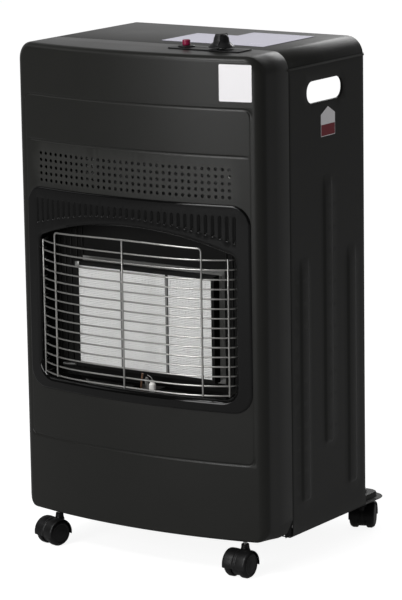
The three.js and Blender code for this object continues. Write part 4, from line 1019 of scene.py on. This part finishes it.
# ---- labels
SIDE_Y, SIDE_Z = (150.0, 187.3), (605.0, 636.0, 646.3)  # the side label's edges, and foot, shoulder and tip
FILM = 0.3


def front_label():
    """A thin sheet laid on the bowed front."""
    outline = resample(rounded(146.3, 192.6, 671.9, 722.5, 1.6, 4), 4)
    skin = bow(outline[:, 0]) - GAP
    return lofted([facing(outline, skin), facing(outline, skin - FILM)])


def side_label():
    (y0, y1), (z0, z1, z2) = SIDE_Y, SIDE_Z
    house = [(y0, z0), (y1, z0), (y1, z1), ((y0 + y1) / 2, z2), (y0, z1)]
    return along_x(softened(house + house[:2], 0.8, 3)[4:], HALF + 0.3, HALF + 0.5)


def side_band():
    """The lower part of the side label, printed in one plain colour."""
    (y0, y1), (z0, _, _) = SIDE_Y, SIDE_Z
    return along_x(rounded(y0 + 0.7, y1 - 0.7, z0 + 0.9, z0 + 16.5, 0.4, 2), HALF + 0.51, HALF + 0.6)


def top_label():
    z = TOP + GAP
    return prism([(-22, 96), (148, 96), (148, 229), (46, 229), (46, 187), (-22, 187)], z, z + FILM)


# ---- parts that keep the CAD's own shape
DRESSED = {
    "brass": dict(gas_valve=0.6, gas_inlet_tail=0.3, gas_injector=0.3),
    "bare_steel": dict(valve_bracket=0.35, main_gas_pipe=0, pilot_burner=0.25, pilot_bracket=0.25,
                       electrode_tip=0.1, valve_spindle=0.25, burner_body=1.2),
    "copper": dict(pilot_pipe=0, thermocouple=0.15),
    "porcelain": dict(electrode_insulator=0.2),
    "black_plastic": dict(igniter_nut=0.3, thrust_washer=0.2),
    # the burner frame takes the chamber's near-black steel, which is painted shade
    "chamber_steel": dict(burner_frame=0.3)}  # each with the radius of its edges
for place, *_ in CASTERS:
    for part, radius in (("stem", 0.3), ("nut", 0.4), ("axle", 0.3)):
        DRESSED["bare_steel"][f"caster_{place}_{part}"] = radius


def dress_cad(name, material, bevel):
    """Gives a CAD solid its material and, where bevel isn't 0, rounded edges."""
    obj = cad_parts[name]
    if not obj.material_slots:
        obj.data.materials.append(MATERIALS[material])
    for slot in obj.material_slots:
        slot.link = "OBJECT"
        slot.material = MATERIALS[material]
    put(obj.modifiers.new("weld", "WELD"), merge_threshold=1e-6)
    if bevel:
        put(obj.modifiers.new("edges", "BEVEL"), width=bevel / 1000, segments=2, limit_method="ANGLE",
            angle_limit=radians(38), harden_normals=False)


# ---- lights, world and floor, in metres
ROOM, BEHIND, AMBIENT = 0.06, 0.57, 0.42  # what shiny surfaces see before and behind, and what dull ones see
GLOW, FLOOR_SHINE = 0.90, 0.12


def lamp(name, az, el, size, power, tall, aim=(0, 0.05, 0.35), distance=3.2):
    """A soft box that looks at aim from a bearing and a height in degrees."""
    data = put(bpy.data.lights.new(name, "AREA"), shape="RECTANGLE", size=size, size_y=tall, energy=power)
    obj = show(name, data)
    way = towards(az, el)
    obj.location = Vector(aim) + way * distance
    obj.rotation_euler = (-way).to_track_quat("-Z", "Y").to_euler()


def rays(tree):
    """1 for rays from the camera, and 1 for rays that left a shiny or clear surface."""
    path = node(tree, "LightPath").outputs
    return path["Is Camera Ray"], maths(tree, "MAXIMUM", path["Is Glossy Ray"], path["Is Transmission Ray"])


def room():
    """White behind the object, and a darker room in front of it for reflections."""
    world = bpy.data.worlds.new("studio")
    SCENE.world = world
    world.use_nodes = True
    tree = world.node_tree
    tree.nodes.clear()
    view = radians(34)
    seen, gloss = rays(tree)
    way = node(tree, "VectorMath", {0: node(tree, "TexCoord").outputs["Generated"],
                                    1: (-sin(view), cos(view), 0)}, operation="DOT_PRODUCT")
    away = node(tree, "MapRange", {"Value": way.outputs["Value"], "From Min": 0.35, "From Max": 0.97,
                                   "To Min": ROOM, "To Max": BEHIND}).outputs[0]
    shine = maths(tree, "MULTIPLY", away, gloss)
    rest = maths(tree, "MULTIPLY", maths(tree, "SUBTRACT", 1, gloss), AMBIENT)
    strength = maths(tree, "MAXIMUM", seen, maths(tree, "ADD", shine, rest))
    light = node(tree, "Background", {"Strength": strength, "Color": (1, 1, 1, 1)})
    node(tree, "OutputWorld", {0: light.outputs[0]})


def ground():
    """A pale floor that glows for the camera and keeps the object's shadow."""
    z, reach = -0.0004, 12
    me = bpy.data.meshes.new("floor")
    me.from_pydata([(-reach, -reach, z), (reach, -reach, z), (reach, reach, z), (-reach, reach, z)], [],
                   [(0, 1, 2, 3)])
    floor = show("floor", me)
    made = bpy.data.materials.new("floor")
    made.use_nodes = True
    tree = made.node_tree
    dull = tree.nodes["Principled BSDF"]
    feed(tree, dull, {"Base Color": (0.28, 0.28, 0.28, 1), "Roughness": 0.9, "Specular IOR Level": 0.0})
    seen, gloss = rays(tree)
    seen = maths(tree, "MAXIMUM", seen, maths(tree, "MULTIPLY", gloss, FLOOR_SHINE))
    glow = node(tree, "Emission", {"Strength": maths(tree, "MULTIPLY", seen, GLOW)})
    both = node(tree, "AddShader", {0: dull.outputs[0], 1: glow.outputs[0]})
    feed(tree, tree.nodes["Material Output"], {0: both.outputs[0]})
    me.materials.append(made)


def lamps():
    lamp("front_box", -8, 13, 1.2, 37, 1.4)
    lamp("left_fill", -62, 34, 1.4, 4, 1.0)
    lamp("high_box", -11, 44, 1.1, 44, 0.75)
    lamp("top_box", 10, 80, 2.0, 5.2, 2.0)
    lamp("rim_box", 196, 20, 0.9, 5, 0.5, aim=(0.2, 0.05, 0.7), distance=1.9)
    lamp("right_fill", 112, 20, 1.2, 2, 1.6)


# ---- making
camera()
materials()

LEAD_R = 1.5
LEAD = [(55, 44, 667.7), (55, 44, 607.7), (34, 65, 560), (34, 65, 450), (30, 65, 340), (31, 65, 216),
        (19, -2, 216), (19, -2, 238.7)]
lead_path = softened(LEAD, 14, 8)
lead_mesh = wire(resample(lead_path, 8, closed=False), LEAD_R, 14)
lead = piece("lead", lead_mesh, "lead_sheath", "ignition_lead")
lead_points = [tuple((p + SHIFT) / 1000) for p in resample(lead_path, 30, closed=False)]
lead_length = float(norm(np.diff(lead_path, axis=0), axis=1).sum()) / 1000

exact_normals(piece("casing_front", front_casing(), "casing", "front_panel"), front_relief)
side = side_casing()
piece("casing_right", side, "casing", "side_panel_right")
piece("casing_left", side.mirrored(), "casing", "side_panel_left")
piece("casing_top", top_casing(), "casing", "top_cover")
piece("tray", base_tray(), "casing", "base_plate")
# the heat shield's steel is darkened as painted shade
piece("rear_shield", heat_shield(), "shield_steel_painted_shade", "heat_shield")
exact_normals(piece("window", window_surround(), "window_enamel", "window_surround", sharp=40),
              flute_relief, SURROUND_PROUD)
piece("guard", guard_grille(), "wire_chrome", "guard_grille", sharp=60)
# the chamber is painted near black: painted shade inside it
piece("chamber", reflector(), "chamber_steel", "reflector")
for k, where in enumerate(("left", "centre", "right")):
    piece("plaque_" + where, ceramic_plaque(k - 1), "ceramic", "ceramic_plaque_" + where, sharp=30)

stud = [(-151, 21, 268), (-147, 21, 268.3), (-138, 21, 268.8), (-130, 21, 269.2)]
piece("chamber_stud", wire(stud, 2.6, 14), "bare_steel")
# the sheet behind the notch gets the chamber's near black: painted shade in the notch
for name, body, material in (("clamp_bar", block(36.5, 40.1, 7.9, 8.4, 277.6, 416.4, 0.15), "fibre_cord"),
                             ("notch_shade_sheet", notch_shade_sheet(), "chamber_steel")):
    piece(name + "_right", body, material)
    piece(name + "_left", body.mirrored(), material)
piece("seam_lip", seam_lip(), "casing")
piece("plaque_clip", plaque_clip(), "bare_steel")

piece("knob", control_knob(), "black_plastic", "control_knob", rides="knob")
piece("knob_line", knob_pale_strip(), "label_film", rides="knob")
piece("igniter", igniter_button(), "red_plastic", "igniter_button", rides="igniter_push")
piece("igniter_collar", igniter_collar(), "black_plastic", "igniter_body")
piece("plate", control_plate(), "black_plastic", "control_plate")

hood, wheel = caster_hood(), caster_wheel()
wheels = {"a": wheel, "b": wheel.mirrored()}
for name, x, y, angle in CASTERS:
    caster = f"caster_{name}"
    piece(f"hood_{name}", placed(hood, x, y, angle), "black_plastic", caster + "_hood", rides=caster)
    for key, wheel in wheels.items():
        piece(f"wheel_{name}_{key}", placed(wheel, x, y, angle), "black_plastic", f"{caster}_wheel_{key}",
              rides=f"wheel_{name}_{key}")
for material, solids in DRESSED.items():
    for name, bevel in solids.items():
        dress_cad(name, material, bevel)
piece("label_front", front_label(), "label_film", "front_label")
piece("label_side", side_label(), "label_film", "side_label")
piece("label_side_band", side_band(), "label_red")
piece("label_top", top_label(), "lavender_film", "top_label")

room()
ground()
lamps()
SCENE.view_settings.view_transform = "Standard"
